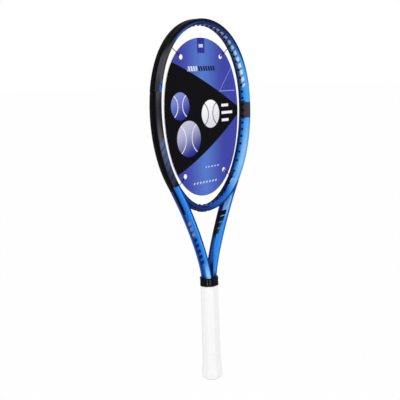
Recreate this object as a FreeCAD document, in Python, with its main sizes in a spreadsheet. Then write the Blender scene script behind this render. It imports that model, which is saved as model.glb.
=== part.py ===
import FreeCAD, Part
import math
import os

import Sketcher
from FreeCAD import Placement, Rotation, Vector

# A full-size tennis racket, unstrung, with a display card tied inside its head.
# X runs across the head, -Y is the side that faces the card's reader, and +Z runs from butt to tip.
# Heights are counted from the butt end, and every piece is then lowered by hold_height,
# so that the origin is the middle of the hand's hold on the grip.

DIMENSIONS = {
    # overall
    "total_length": 685.0,
    "hold_height": 90.0,
    # the head's centreline, an egg: x = half width * sin t * (1 + skew cos t + fullness cos^2 t)
    "head_half_width": 127.8,
    "head_half_height": 171.25,
    "head_skew": 0.0743,
    "head_fullness": 0.0547,
    # the tube
    "tube_width": 10.7,
    "tube_edge_radius": 5.0,
    "tube_wall": 1.7,
    "beam_tip": 23.6,
    "beam_shoulder": 26.0,
    "beam_shaft": 23.0,
    "beam_in_handle": 18.0,
    # where the arms leave the head, and how they run into the shaft
    "leave_angle": 132.0,
    "arm_upper_handle": 80.0,
    "arm_lower_handle": 45.0,
    "shaft_top": 186.0,
    "shaft_bottom": 22.0,
    "shaft_offset": 5.5,
    # the bridge that closes the head at the throat
    "bridge_width": 10.5,
    "bridge_depth": 21.5,
    "bridge_end_depth": 25.0,
    "bridge_angle": 138.0,
    # string channel round the outside, and what sits in it
    "channel_width": 7.0,
    "channel_depth": 1.6,
    "bumper_angle": 73.0,
    "bumper_proud": 0.5,
    "bumper_rim": 0.35,
    "strip_gap_angle": 0.7,
    "string_groove_width": 3.2,
    "string_groove_depth": 1.3,
    # the sixteen mains and nineteen crosses
    "main_pitch": 13.0,
    "main_growth": 0.015,
    "lower_seventh_inset": 4.7,
    "middle_cross_height": 512.1,
    "cross_pitch": 12.1,
    "cross_growth_up": 0.037,
    "cross_growth_down": 0.044,
    "barrel_radius": 2.1,
    "barrel_bore_radius": 1.25,
    "barrel_clearance": 0.12,
    "barrel_proud": 1.8,
    "throat_strip_proud": 1.0,
    "throat_pad_proud": 1.1,
    # handle
    "pallet_top": 184.0,
    "pallet_bottom": 5.0,
    "pallet_slot_bevel": 2.5,
    "pallet_step": 35.0,
    "pallet_top_width": 30.0,
    "pallet_low_width": 32.8,
    "handle_ratio": 0.885,
    "handle_bevel": 0.27,
    "cap_wall": 1.1,
    "cap_waist_height": 22.0,
    "cap_waist_width": 34.6,
    "cap_flare_height": 10.0,
    "cap_flare_width": 38.2,
    "cap_end_width": 34.0,
    "grip_thickness": 1.8,
    "grip_top": 192.0,
    "grip_bottom": 3.2,
    "tape_bottom": 178.0,
    "tape_top": 191.0,
    "tape_thickness": 0.25,
    # rubber collar over the end of the grip
    "collar_bottom": 186.3,
    "collar_top": 202.0,
    "collar_lip": 4.0,
    "collar_wall": 0.95,
    "collar_clearance": 0.3,
    "collar_mouth_width": 29.4,
    "collar_mouth_depth": 23.7,
    "collar_mouth_bevel": 3.0,
    # card and its ties
    "card_half_width": 105.0,
    "card_half_height": 145.6,
    "card_centre_height": 505.5,
    "card_skew": 0.071,
    "card_fullness": 0.1135,
    "card_thickness": 1.6,
    "card_set_back": 1.3,
    "card_hole_radius": 4.7,
    "card_hole_offset": 56.3,
    "card_hole_upper_height": 616.8,
    "card_hole_lower_height": 402.0,
    "tie_diameter": 1.3,
    "tie_lift": 1.7,
    "tie_inset": 1.15,
    "toggle_length": 9.0,
    "toggle_width": 2.0,
    "toggle_thickness": 1.4,
    "card_toggle_shift": 0.3,
    "staple_crown": 10.0,
    "staple_wire": 0.7,
    "staple_leg": 4.8,
    "staple_height": 29.0,
}

doc = FreeCAD.newDocument("tennis_racket")
sheet = doc.addObject("Spreadsheet::Sheet", "Dims")
for row, (alias, value) in enumerate(DIMENSIONS.items(), start=1):
    sheet.set(f"A{row}", alias)
    sheet.set(f"B{row}", str(value))
    sheet.setAlias(f"B{row}", alias)
doc.recompute()


def dim(alias):
    return float(sheet.get(alias))


HALF_TUBE = dim("tube_width") / 2
HEAD_CENTRE = dim("total_length") - dim("bumper_proud") - HALF_TUBE - dim("head_half_height")
EDGE_FACETS = 2
HEAD_STEP = 5.5
ARM_STEPS = 10
CHANNEL_ARM_STEPS = 3
BRIDGE_STEP = 6.0
FLATNESS = 1e-6
BORE_SIDES = 4
CARD_EDGE_STEPS = 60
PUNCH_SIDES = 12
STRIP_PROUD = 0.2
JOINT_GAP = 0.02
TOGGLE_GAP = 0.1
AXIS_Y = Vector(0, 1, 0)
MIRROR_NORMAL = Vector(1, 0, 0)
ORIGIN = Vector(0, 0, 0)


# ---------------------------------------------------------------- curves

def egg_point(angle, half_width, half_height, skew, fullness, centre):
    """Point of an egg at an angle from the tip, in the plane y = 0."""
    lean = 1 + skew * math.cos(angle) + fullness * math.cos(angle) ** 2
    return Vector(half_width * math.sin(angle) * lean, 0, centre + half_height * math.cos(angle))


def head_point(angle):
    return egg_point(angle, dim("head_half_width"), dim("head_half_height"),
                     dim("head_skew"), dim("head_fullness"), HEAD_CENTRE)


def head_outward(angle):
    """Unit normal of the head's centreline, pointing out of the head."""
    step = 1e-4
    along = head_point(angle + step) - head_point(angle - step)
    return Vector(-along.z, 0, along.x).normalize()


def arm_handles():
    """Control points of the cubic curve from the head to the shaft."""
    leave = math.radians(dim("leave_angle"))
    start = head_point(leave)
    outward = head_outward(leave)
    along = Vector(outward.z, 0, -outward.x)
    end = Vector(dim("shaft_offset"), 0, dim("shaft_top"))
    return (start, start + along * dim("arm_upper_handle"),
            end + Vector(0, 0, dim("arm_lower_handle")), end)


def arm_point(part):
    """Point at a share 0..1 of the way from the head to the shaft."""
    rest = 1 - part
    weights = (rest ** 3, 3 * rest ** 2 * part, 3 * rest * part ** 2, part ** 3)
    point = Vector(0, 0, 0)
    for weight, handle in zip(weights, arm_handles()):
        point = point + handle * weight
    return point


def arm_outward(part):
    step = 1e-4
    along = arm_point(min(part + step, 1)) - arm_point(max(part - step, 0))
    return Vector(-along.z, 0, along.x).normalize()


def blend(value, start, end):
    """0 before start, 1 after end, and smooth between them."""
    share = min(max((value - start) / (end - start), 0), 1)
    return share * share * (3 - 2 * share)


def half_beam(height):
    """Half the tube's depth: thin at the tip, deepest at the shoulders, thin again in the handle."""
    tip_height = dim("total_length")
    shoulder_height = HEAD_CENTRE - 0.6 * dim("head_half_height")
    shaft_height = dim("collar_top") + 10
    depth = dim("beam_tip")
    depth += (dim("beam_shoulder") - depth) * blend(-height, -tip_height, -shoulder_height)
    depth += (dim("beam_shaft") - depth) * blend(-height, -shoulder_height + 20, -shaft_height)
    depth += (dim("beam_in_handle") - depth) * blend(-height, -dim("collar_top"), -dim("shaft_top"))
    return depth / 2


# ---------------------------------------------------------------- sections

def placed(point, outward, across, depth):
    return point + outward * across + AXIS_Y * depth


def rounded_outline(half_width, half_depth, radius):
    """Corners of a rectangle whose edges are rounded off in EDGE_FACETS steps."""
    outline = []
    for across, depth, start in ((1, 1, 0), (-1, 1, 90), (-1, -1, 180), (1, -1, 270)):
        for step in range(EDGE_FACETS + 1):
            turn = math.radians(start + 90 * step / EDGE_FACETS)
            outline.append((across * (half_width - radius) + radius * math.cos(turn),
                            depth * (half_depth - radius) + radius * math.sin(turn)))
    return outline


def flat_section(point, outward, outline):
    """Corners of an (across, depth) outline that stands square to the tube's centreline."""
    return [placed(point, outward, across, depth) for across, depth in outline]


def box_outline(inner, outer, half_depth):
    return ((outer, half_depth), (inner, half_depth), (inner, -half_depth), (outer, -half_depth))


def flat_face(corners):
    return Part.Face(Part.makePolygon(corners + corners[:1]))


def solid_of(faces):
    shell = Part.makeShell(faces)
    shell.sewShape()
    return Part.makeSolid(shell)


def panel(corners):
    """One flat face through four corners, or two where the corners don't lie in one plane."""
    first, second, third, fourth = corners
    normal = (second - first).cross(fourth - first).normalize()
    if abs((third - first).dot(normal)) < FLATNESS:
        return [flat_face(corners)]
    return [flat_face([first, second, third]), flat_face([first, third, fourth])]


def loft(sections):
    """Solid of flat faces through sections that all have the same number of corners."""
    faces = [flat_face(sections[0]), flat_face(sections[-1])]
    for near, far in zip(sections, sections[1:]):
        for index in range(len(near)):
            following = (index + 1) % len(near)
            faces += panel([near[index], near[following], far[following], far[index]])
    return solid_of(faces)


def head_stations(start, end, step=HEAD_STEP):
    """(point, outward) pairs at two angles in degrees and at every multiple of step between them."""
    multiples = [step * count for count in range(math.floor(start / step) + 1, math.ceil(end / step))]
    angles = [math.radians(angle) for angle in [start] + multiples + [end]]
    return [(head_point(angle), head_outward(angle)) for angle in angles]


def arm_stations(steps):
    """(point, outward) pairs down an arm, without the first, which the head has."""
    parts = [step / ARM_STEPS for step in range(1, steps + 1)]
    return [(arm_point(part), arm_outward(part)) for part in parts]


def right_stations():
    """Half of the tube, from the tip down to the top of the shaft."""
    return head_stations(0, dim("leave_angle")) + arm_stations(ARM_STEPS)


def loop_stations():
    """The whole tube from one end of the shaft, up an arm, round the head and down again."""
    right = right_stations()
    left = [(Vector(-point.x, 0, point.z), Vector(-outward.x, 0, outward.z))
            for point, outward in right[1:]]
    return left[::-1] + right


def channel_stations(start):
    """Right-hand stations of the string channel, from an angle in degrees down to its lower end."""
    return head_stations(start, dim("leave_angle")) + arm_stations(CHANNEL_ARM_STEPS)


def mirrored(shape):
    return shape.mirror(ORIGIN, MIRROR_NORMAL)


# ---------------------------------------------------------------- string holes

def main_offset(index):
    """Distance of the index-th main string from the middle, counted from 1."""
    steps = index - 0.5
    return dim("main_pitch") * steps + dim("main_growth") * steps ** 3


def cross_height(index):
    growth = dim("cross_growth_up") if index > 0 else dim("cross_growth_down")
    return dim("middle_cross_height") + dim("cross_pitch") * index + growth * index ** 3


def angle_at_height(height):
    return math.acos((height - HEAD_CENTRE) / dim("head_half_height"))


def angle_at_offset(offset, low, high):
    """Angle between low and high at which the head is offset from the middle."""
    rising = head_point(high).x > head_point(low).x
    for _ in range(40):
        middle = (low + high) / 2
        if (head_point(middle).x < offset) == rising:
            low = middle
        else:
            high = middle
    return middle


MAINS_PER_SIDE = 8
BRIDGE_MAINS = 4
CROSSES_EACH_WAY = 9
SHARED_SPACING = 6.0


def side_hole_angles():
    """Angles of the holes drilled square to the tube on one side, from tip to shoulder."""
    widest = math.radians(90)
    mains = range(1, MAINS_PER_SIDE + 1)
    angles = [angle_at_offset(main_offset(index), 0, widest) for index in mains]
    for index in range(BRIDGE_MAINS + 1, MAINS_PER_SIDE + 1):
        inset = dim("lower_seventh_inset") if index == MAINS_PER_SIDE - 1 else 0
        angles.append(angle_at_offset(main_offset(index) - inset, widest, math.pi))
    # a cross string shares a main string's hole where the two come too close
    for index in range(-CROSSES_EACH_WAY, CROSSES_EACH_WAY + 1):
        angle = angle_at_height(cross_height(index))
        gaps = [(head_point(angle) - head_point(other)).Length for other in angles]
        if min(gaps) > SHARED_SPACING:
            angles.append(angle)
    return sorted(angles)


def channel_seat(angle):
    """Where a string hole's axis meets the floor of the string channel: (distance out, normal there)."""
    seat = HALF_TUBE - dim("channel_depth")
    start = head_point(angle)
    outward = head_outward(angle)
    if angle <= math.radians(dim("leave_angle")):
        return seat, outward
    fine = [share / 200 for share in range(121)]
    stations = [(arm_point(part), arm_outward(part)) for part in fine]
    reach = seat
    while True:
        tip = start + outward * reach
        point, normal = min(stations, key=lambda station: (station[0] - tip).Length)
        if (tip - point).dot(normal) >= seat:
            return reach, normal
        reach += 0.1


def prism(start, direction, length, radius, sides=6):
    """Straight prism of a regular outline from a start point along a unit direction."""
    sideways = AXIS_Y.cross(direction)
    corners = []
    for index in range(sides):
        turn = 2 * math.pi * index / sides
        corners.append(start + AXIS_Y * (radius * math.cos(turn)) + sideways * (radius * math.sin(turn)))
    return flat_face(corners).extrude(direction * length)


def side_barrels(angles, radius, outer_extra, inner_extra, sides=6):
    """One prism per hole angle, running from the outside of the tube to the inside of the head."""
    shapes = []
    for angle in angles:
        outward = head_outward(angle)
        top = channel_seat(angle)[0] + outer_extra
        length = top + HALF_TUBE + inner_extra
        shapes.append(prism(head_point(angle) + outward * top, outward * -1, length, radius, sides))
    return shapes


def bridge_barrels(radius, lower_extra, upper_extra, sides=6):
    """Upright prisms through the bridge, one per main string that ends there."""
    half = dim("bridge_width") / 2
    shapes = []
    for index in range(1, BRIDGE_MAINS + 1):
        for side in (-1, 1):
            offset = main_offset(index)
            angle = angle_at_offset(offset, math.radians(100), math.pi)
            outward = head_outward(angle)
            rise = half / abs(outward.z)
            foot = head_point(angle)
            start = Vector(side * offset, 0, foot.z - rise - lower_extra)
            length = 2 * rise + lower_extra + upper_extra
            shapes.append(prism(start, Vector(0, 0, 1), length, radius, sides))
    return shapes


# ---------------------------------------------------------------- objects

def lowered():
    return Placement(Vector(0, 0, -dim("hold_height")), Rotation())


def add_feature(label, shape):
    """A sub-part whose shape is worked out with Part's functions."""
    feature = doc.addObject("Part::Feature", label)
    feature.Label = label
    feature.Shape = shape
    feature.Placement = lowered()
    return feature


def tube_section(point, outward, grown=0):
    radius = dim("tube_edge_radius") + grown
    outline = rounded_outline(HALF_TUBE + grown, half_beam(point.z) + grown, radius)
    return flat_section(point, outward, outline)


def hollow_section(point, outward):
    """Section of the tube's hollow, shifted in to leave a wall under the string channel."""
    wall = dim("tube_wall")
    outline = box_outline(wall - HALF_TUBE, HALF_TUBE - wall - dim("channel_depth"),
                          half_beam(point.z) - 2 * wall)
    return flat_section(point, outward, outline)


def shaft_legs(section):
    """Both legs of the shaft, straight down from the end of the arms."""
    drop = Vector(0, 0, dim("shaft_bottom") - dim("shaft_top"))
    leg = flat_face(section(arm_point(1), MIRROR_NORMAL)).extrude(drop)
    return [leg, mirrored(leg)]


def hairpin_solid():
    """The outside of the hairpin: a loop of tube whose two legs are joined by a web in the shaft."""
    loop = loft([tube_section(point, outward) for point, outward in loop_stations()])
    half_web = half_beam(dim("shaft_top")) - dim("tube_edge_radius")
    height = dim("shaft_top") - dim("shaft_bottom")
    web = Part.makeBox(2, 2 * half_web, height, Vector(-1, -half_web, dim("shaft_bottom")))
    return loop.fuse(shaft_legs(tube_section) + [web])


def hollow_solids():
    loop = loft([hollow_section(point, outward) for point, outward in loop_stations()])
    return [loop] + shaft_legs(hollow_section)


def channel_cutter(stations):
    half = dim("channel_width") / 2
    floor = HALF_TUBE - dim("channel_depth")
    above = HALF_TUBE + dim("channel_depth")
    outline = box_outline(floor, above, half)
    return loft([flat_section(point, outward, outline) for point, outward in stations])


SIDE_ANGLES = side_hole_angles()
BUMPER_EDGE = math.radians(dim("bumper_angle"))
hairpin = hairpin_solid()


def drill_side_holes(first_angle=0):
    """Cutters for the string holes on both sides, from an angle downwards."""
    radius = dim("barrel_radius") + dim("barrel_clearance")
    angles = [angle for angle in SIDE_ANGLES if angle >= first_angle]
    right = side_barrels(angles, radius, dim("channel_depth"), 1)
    return right + [mirrored(shape) for shape in right]


def build_frame():
    bumper_end = dim("bumper_angle") + dim("strip_gap_angle") + 0.1
    bumper_channel = channel_cutter(head_stations(-bumper_end, bumper_end))
    side_channel = channel_cutter(channel_stations(dim("bumper_angle") + dim("strip_gap_angle")))
    shell = hairpin.cut([bumper_channel, side_channel, mirrored(side_channel)])
    return shell.cut(hollow_solids()).cut(drill_side_holes())


def build_bridge():
    """The bridge follows the head's own curve and is shaped at both ends to sit on the arms."""
    start = dim("bridge_angle")
    end_offset = head_point(math.radians(start)).x
    half_width = dim("bridge_width") / 2
    wall = dim("tube_wall")
    outer = []
    inner = []
    for point, outward in head_stations(start, 360 - start, BRIDGE_STEP):
        depth = dim("bridge_depth")
        depth += (dim("bridge_end_depth") - depth) * blend(abs(point.x), 0, end_offset)
        outline = rounded_outline(half_width, depth / 2, half_width - wall / 2)
        outer.append(flat_section(point, outward, outline))
        outline = box_outline(wall - half_width, half_width - wall, depth / 2 - 2 * wall)
        inner.append(flat_section(point, outward, outline))
    arm = loft([tube_section(point, outward, JOINT_GAP) for point, outward in right_stations()[20:31]])
    solid = loft(outer).cut([arm, mirrored(arm)]).cut(loft(inner[3:-3]))
    clearance = dim("barrel_clearance")
    holes = bridge_barrels(dim("barrel_radius") + clearance, 2, 2)
    return solid.cut(holes + drill_side_holes(math.radians(dim("leave_angle"))))


def strip_outline(outer, shoulder):
    """Section of a strip: a tongue in the channel, a string groove, and any shoulder between the two."""
    half_channel = dim("channel_width") / 2 - JOINT_GAP
    half_groove = dim("string_groove_width") / 2
    seat = HALF_TUBE - dim("channel_depth") + JOINT_GAP
    right = [(outer - dim("string_groove_depth"), half_groove), (outer, half_groove)]
    right += shoulder or [(outer, half_channel)]
    right += [(seat, half_channel)]
    left = [(across, -depth) for across, depth in reversed(right)]
    return right + left


def bumper_shoulder(half_depth):
    """The guard's shoulder: flat over the tube's side wall, then turned down over its first edge facet."""
    radius = dim("tube_edge_radius")
    centre_across = HALF_TUBE - radius
    centre_depth = half_depth - radius
    slant = math.cos(math.radians(90 / EDGE_FACETS))
    inner = radius + 2 * JOINT_GAP
    outer = radius + dim("bumper_proud")
    rim = radius + dim("bumper_rim")
    return [(centre_across + outer, centre_depth),
            (centre_across + rim * slant, centre_depth + rim * slant),
            (centre_across + inner * slant, centre_depth + inner * slant),
            (centre_across + inner, centre_depth),
            (centre_across + inner, dim("channel_width") / 2 - JOINT_GAP)]


def build_bumper():
    outer = HALF_TUBE + dim("bumper_proud")
    sections = []
    for point, outward in head_stations(-dim("bumper_angle"), dim("bumper_angle")):
        outline = strip_outline(outer, bumper_shoulder(half_beam(point.z)))
        sections.append(flat_section(point, outward, outline))
    return with_barrels(loft(sections), [angle for angle in SIDE_ANGLES if angle < BUMPER_EDGE], True)


def with_barrels(carrier, angles, both_sides):
    radius = dim("barrel_radius")
    barrels = side_barrels(angles, radius, 0.3, dim("barrel_proud"))
    bores = side_barrels(angles, dim("barrel_bore_radius"), 6, dim("barrel_proud") + 2, BORE_SIDES)
    if both_sides:
        barrels += [mirrored(shape) for shape in barrels]
        bores += [mirrored(shape) for shape in bores]
    return carrier.fuse(barrels).cut(bores)


def build_side_strip():
    outline = strip_outline(HALF_TUBE + STRIP_PROUD, [])
    stations = channel_stations(dim("bumper_angle") + dim("strip_gap_angle"))
    strip = loft([flat_section(point, outward, outline) for point, outward in stations])
    return with_barrels(strip, [angle for angle in SIDE_ANGLES if angle > BUMPER_EDGE], False)


def build_throat_strip():
    """A thin strip under the bridge with thicker string pads and an upright barrel per string."""
    half_width = dim("bridge_width") / 2
    seat = half_width + 2 * JOINT_GAP
    proud = half_width + dim("throat_strip_proud")
    reach = math.degrees(angle_at_offset(main_offset(BRIDGE_MAINS) + 3, math.radians(100), math.pi))
    outline = ((proud, 2.6), (seat, 3.6), (seat, -3.6), (proud, -2.6))
    stations = head_stations(reach, 360 - reach, BRIDGE_STEP)
    shapes = [loft([flat_section(point, outward, outline) for point, outward in stations])]
    # a pad lies under each pair of strings that loops from one main to the next
    pad = proud + dim("throat_pad_proud")
    outline = ((pad, 2.4), (seat + 0.2, 4.0), (seat + 0.2, -4.0), (pad, -2.4))
    near = angle_at_offset(main_offset(2) + 3, math.radians(100), math.pi)
    far = angle_at_offset(main_offset(1) - 3, math.radians(100), math.pi)
    stations = head_stations(math.degrees(near), math.degrees(far), BRIDGE_STEP)
    right_pad = loft([flat_section(point, outward, outline) for point, outward in stations])
    shapes += [right_pad, mirrored(right_pad)]
    shapes += bridge_barrels(dim("barrel_radius"), 0.3, dim("barrel_proud"))
    bores = bridge_barrels(dim("barrel_bore_radius"), 4, dim("barrel_proud") + 2, BORE_SIDES)
    return shapes[0].fuse(shapes[1:]).cut(bores)


# ---------------------------------------------------------------- handle, with sketches

def add_body(label):
    """A sub-part built from sketches; its placement lowers it by the hold height."""
    body = doc.addObject("PartDesign::Body", label)
    body.Label = label
    body.setExpression("Placement.Base.z", "-Dims.hold_height * 1 mm")
    return body


def base_plane(body, role):
    return next(item for item in body.Origin.OriginFeatures if item.Role == role)


def octagon_sketch(body, name, height, width, depth, bevel):
    """Sketch of an octagon square to Z; height, width, depth and bevel are expressions."""
    sketch = body.newObject("Sketcher::SketchObject", name)
    sketch.AttachmentSupport = (base_plane(body, "XY_Plane"), "")
    sketch.MapMode = "FlatFace"
    corners = ((10, -6), (10, 6), (6, 10), (-6, 10), (-10, 6), (-10, -6), (-6, -10), (6, -10))
    points = [Vector(across, along, 0) for across, along in corners]
    for index in range(8):
        sketch.addGeometry(Part.LineSegment(points[index], points[(index + 1) % 8]), False)
    for index in range(8):
        sketch.addConstraint(Sketcher.Constraint("Coincident", index, 2, (index + 1) % 8, 1))
    right, top, left, bottom = 0, 2, 4, 6
    start, end = 1, 2
    x_axis, y_axis = -1, -2
    sketch.addConstraint(Sketcher.Constraint("Symmetric", right, start, right, end, x_axis))
    sketch.addConstraint(Sketcher.Constraint("Symmetric", left, start, left, end, x_axis))
    sketch.addConstraint(Sketcher.Constraint("Symmetric", right, start, left, end, y_axis))
    sketch.addConstraint(Sketcher.Constraint("Symmetric", top, start, top, end, y_axis))
    sketch.addConstraint(Sketcher.Constraint("Symmetric", bottom, start, bottom, end, y_axis))
    sketch.addConstraint(Sketcher.Constraint("Symmetric", top, start, bottom, end, x_axis))
    driving = (("half_width", "DistanceX", -1, 1, right, end, f"({width}) / 2 * 1 mm"),
               ("half_depth", "DistanceY", -1, 1, top, start, f"({depth}) / 2 * 1 mm"),
               ("flat_x", "DistanceX", -1, 1, top, start, f"(({width}) / 2 - ({bevel})) * 1 mm"),
               ("flat_y", "DistanceY", -1, 1, right, end, f"(({depth}) / 2 - ({bevel})) * 1 mm"))
    for label, kind, first, first_point, second, second_point, expression in driving:
        value = 10 if label.startswith("half") else 6
        index = sketch.addConstraint(Sketcher.Constraint(kind, first, first_point,
                                                         second, second_point, value))
        sketch.renameConstraint(index, label)
        sketch.setExpression(f"Constraints.{label}", expression)
    sketch.setExpression("AttachmentOffset.Base.z", f"({height}) * 1 mm")
    return sketch


def handle_octagon(body, name, height, width, trim="0"):
    """An octagon in the handle's own proportions, all of its sides moved in by trim."""
    full = f"({width}) - 2 * ({trim})"
    return octagon_sketch(body, name, height, full, f"({width}) * Dims.handle_ratio - 2 * ({trim})",
                          f"({width}) * Dims.handle_bevel - 0.586 * ({trim})")


def add_loft(body, kind, name, sketches, ruled=True):
    feature = body.newObject(f"PartDesign::{kind}Loft", name)
    feature.Profile = sketches[0]
    feature.Sections = sketches[1:]
    feature.Ruled = ruled
    for sketch in sketches:
        sketch.Visibility = False
    body.Tip = feature
    return feature


def width_at(height):
    """Expression for the width of the handle's taper, under the grip, at a height."""
    return ("Dims.pallet_low_width + (Dims.pallet_top_width - Dims.pallet_low_width)"
            f" * (({height}) - Dims.pallet_step) / (Dims.grip_top - Dims.pallet_step)")


def build_pallet():
    """Foam pallet: tapered octagon with a stepped lower end and a slot for the two legs."""
    body = add_body("handle_pallet")
    wide, trim = "Dims.pallet_low_width", "Dims.cap_wall"
    low_end = handle_octagon(body, "pallet_low_end", "Dims.pallet_bottom", wide, trim)
    low_step = handle_octagon(body, "pallet_low_step", "Dims.pallet_step", wide, trim)
    add_loft(body, "Additive", "pallet_foot", [low_end, low_step])
    step = handle_octagon(body, "pallet_step_outline", "Dims.pallet_step", wide)
    top = handle_octagon(body, "pallet_top_outline", "Dims.pallet_top", width_at("Dims.pallet_top"))
    add_loft(body, "Additive", "pallet_length", [step, top])
    slot_width = "2 * (Dims.shaft_offset + Dims.tube_width / 2)"
    slot = octagon_sketch(body, "leg_slot", "Dims.shaft_bottom", slot_width, "Dims.beam_in_handle",
                          "Dims.pallet_slot_bevel")
    pocket = body.newObject("PartDesign::Pocket", "leg_slot_pocket")
    pocket.Profile = slot
    pocket.Type = "ThroughAll"
    pocket.Reversed = True
    body.Tip = pocket
    return body


def build_butt_cap():
    """Flared cap over the pallet's lower end, closed underneath."""
    body = add_body("butt_cap")
    trim = "Dims.cap_wall"
    flare = [handle_octagon(body, "cap_end", "0", "Dims.cap_end_width", "1.4"),
             handle_octagon(body, "cap_edge", "1.6", "Dims.cap_end_width"),
             handle_octagon(body, "cap_under_flare", "Dims.grip_bottom", "Dims.cap_end_width + 1"),
             handle_octagon(body, "cap_flare", "Dims.cap_flare_height", "Dims.cap_flare_width"),
             handle_octagon(body, "cap_waist", "Dims.cap_waist_height", "Dims.cap_waist_width"),
             handle_octagon(body, "cap_rim", "Dims.pallet_step", "Dims.pallet_low_width")]
    add_loft(body, "Additive", "cap_outside", flare)
    socket = [handle_octagon(body, "socket_floor", "Dims.pallet_bottom", "Dims.pallet_low_width", trim),
              handle_octagon(body, "socket_mouth", "Dims.pallet_step", "Dims.pallet_low_width", trim)]
    add_loft(body, "Subtractive", "cap_socket", socket)
    return body


def build_base_grip():
    """Grip sleeve: the same octagon moved out by the grip's thickness, hollow for pallet and cap."""
    body = add_body("base_grip")
    out = "-Dims.grip_thickness"
    levels = [("foot", "Dims.grip_bottom", "Dims.cap_end_width + 1"),
              ("flare", "Dims.cap_flare_height", "Dims.cap_flare_width"),
              ("waist", "Dims.cap_waist_height", "Dims.cap_waist_width"),
              ("rim", "Dims.pallet_step", "Dims.pallet_low_width"),
              ("head", "Dims.grip_top", "Dims.pallet_top_width")]
    outside = [handle_octagon(body, f"grip_{name}_outside", height, width, out)
               for name, height, width in levels]
    add_loft(body, "Additive", "grip_outside", outside)
    inside = [handle_octagon(body, f"grip_{name}_inside", height, width)
              for name, height, width in levels]
    add_loft(body, "Subtractive", "grip_inside", inside)
    return body


def build_finishing_tape():
    """A turn of tape round the grip's upper end."""
    body = add_body("finishing_tape")
    levels = ("Dims.tape_bottom", "Dims.tape_top")
    thick = "-Dims.grip_thickness - Dims.tape_thickness"
    outside = [handle_octagon(body, f"tape_outside_{index}", height, width_at(height), thick)
               for index, height in enumerate(levels)]
    add_loft(body, "Additive", "tape_outside", outside)
    inside = [handle_octagon(body, f"tape_inside_{index}", height, width_at(height), "-Dims.grip_thickness")
              for index, height in enumerate(levels)]
    add_loft(body, "Subtractive", "tape_inside", inside)
    return body


def build_collar():
    """Rubber ring: hollow below, where it covers the grip's end, with a lip that hugs the shaft."""
    body = add_body("rubber_collar")
    inner = "-Dims.grip_thickness - Dims.tape_thickness - Dims.collar_clearance"
    outer = f"{inner} - Dims.collar_wall"
    foot = width_at("Dims.collar_bottom")
    lip = "Dims.collar_top - Dims.collar_lip"
    outside = [handle_octagon(body, "collar_foot", "Dims.collar_bottom", foot, f"{outer} + 0.4"),
               handle_octagon(body, "collar_bead", "Dims.collar_bottom + 1.2", foot, outer),
               handle_octagon(body, "collar_waist", lip, foot, f"{outer} + 0.4"),
               handle_octagon(body, "collar_rim", "Dims.collar_top - 1", foot, outer),
               handle_octagon(body, "collar_crown", "Dims.collar_top", foot, f"{outer} + 0.4")]
    add_loft(body, "Additive", "collar_outside", outside)
    hollow = [handle_octagon(body, "collar_hollow_low", "Dims.collar_bottom", foot, inner),
              handle_octagon(body, "collar_hollow_high", lip, foot, inner)]
    add_loft(body, "Subtractive", "collar_hollow", hollow)
    mouth = octagon_sketch(body, "collar_mouth", "Dims.collar_top", "Dims.collar_mouth_width",
                           "Dims.collar_mouth_depth", "Dims.collar_mouth_bevel")
    pocket = body.newObject("PartDesign::Pocket", "collar_mouth_pocket")
    pocket.Profile = mouth
    pocket.Type = "ThroughAll"
    body.Tip = pocket
    return body


# ---------------------------------------------------------------- card and its ties

def card_outline():
    """The card's die-cut edge: an egg a little smaller than the head's opening."""
    points = []
    for index in range(CARD_EDGE_STEPS):
        angle = 2 * math.pi * index / CARD_EDGE_STEPS
        points.append(egg_point(angle, dim("card_half_width"), dim("card_half_height"),
                                dim("card_skew"), dim("card_fullness"), dim("card_centre_height")))
    return points


def card_holes():
    """The four tie holes: (side, centre) pairs, the upper pair first."""
    heights = (dim("card_hole_upper_height"), dim("card_hole_lower_height"))
    return [(side, Vector(side * dim("card_hole_offset"), dim("card_set_back"), height))
            for height in heights for side in (-1, 1)]


def punch(centre, reach):
    """Round cutter for a card hole, reaching as far before the card's middle as behind it."""
    rim = []
    for index in range(PUNCH_SIDES):
        turn = 2 * math.pi * index / PUNCH_SIDES
        spoke = Vector(math.cos(turn), 0, math.sin(turn))
        rim.append(centre + spoke * dim("card_hole_radius") - AXIS_Y * reach)
    return flat_face(rim).extrude(AXIS_Y * 2 * reach)


def build_card():
    thickness = dim("card_thickness")
    sheet_of_card = flat_face(card_outline()).extrude(AXIS_Y * thickness)
    sheet_of_card.translate(AXIS_Y * (dim("card_set_back") - thickness / 2))
    return sheet_of_card.cut([punch(centre, thickness) for side, centre in card_holes()])


def tie_hole_angle(upper):
    """The ties share the grommets of the seventh main string."""
    seventh = main_offset(MAINS_PER_SIDE - 1)
    if upper:
        return angle_at_offset(seventh, 0, math.radians(90))
    return angle_at_offset(seventh - dim("lower_seventh_inset"), math.radians(90), math.pi)


def groove_floor(angle):
    """Distance out along a hole's axis, and the normal there, of the floor of the string groove."""
    proud = dim("bumper_proud") if angle < BUMPER_EDGE else STRIP_PROUD
    rise = dim("channel_depth") + proud - dim("string_groove_depth")
    reach, normal = channel_seat(angle)
    return reach + rise / normal.dot(head_outward(angle)), normal


def to_side(vector, side):
    return Vector(side * vector.x, vector.y, vector.z)


def towards(start, end):
    """Unit direction from one point to another in the plane of the card."""
    return Vector(end.x - start.x, 0, end.z - start.z).normalize()


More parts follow.
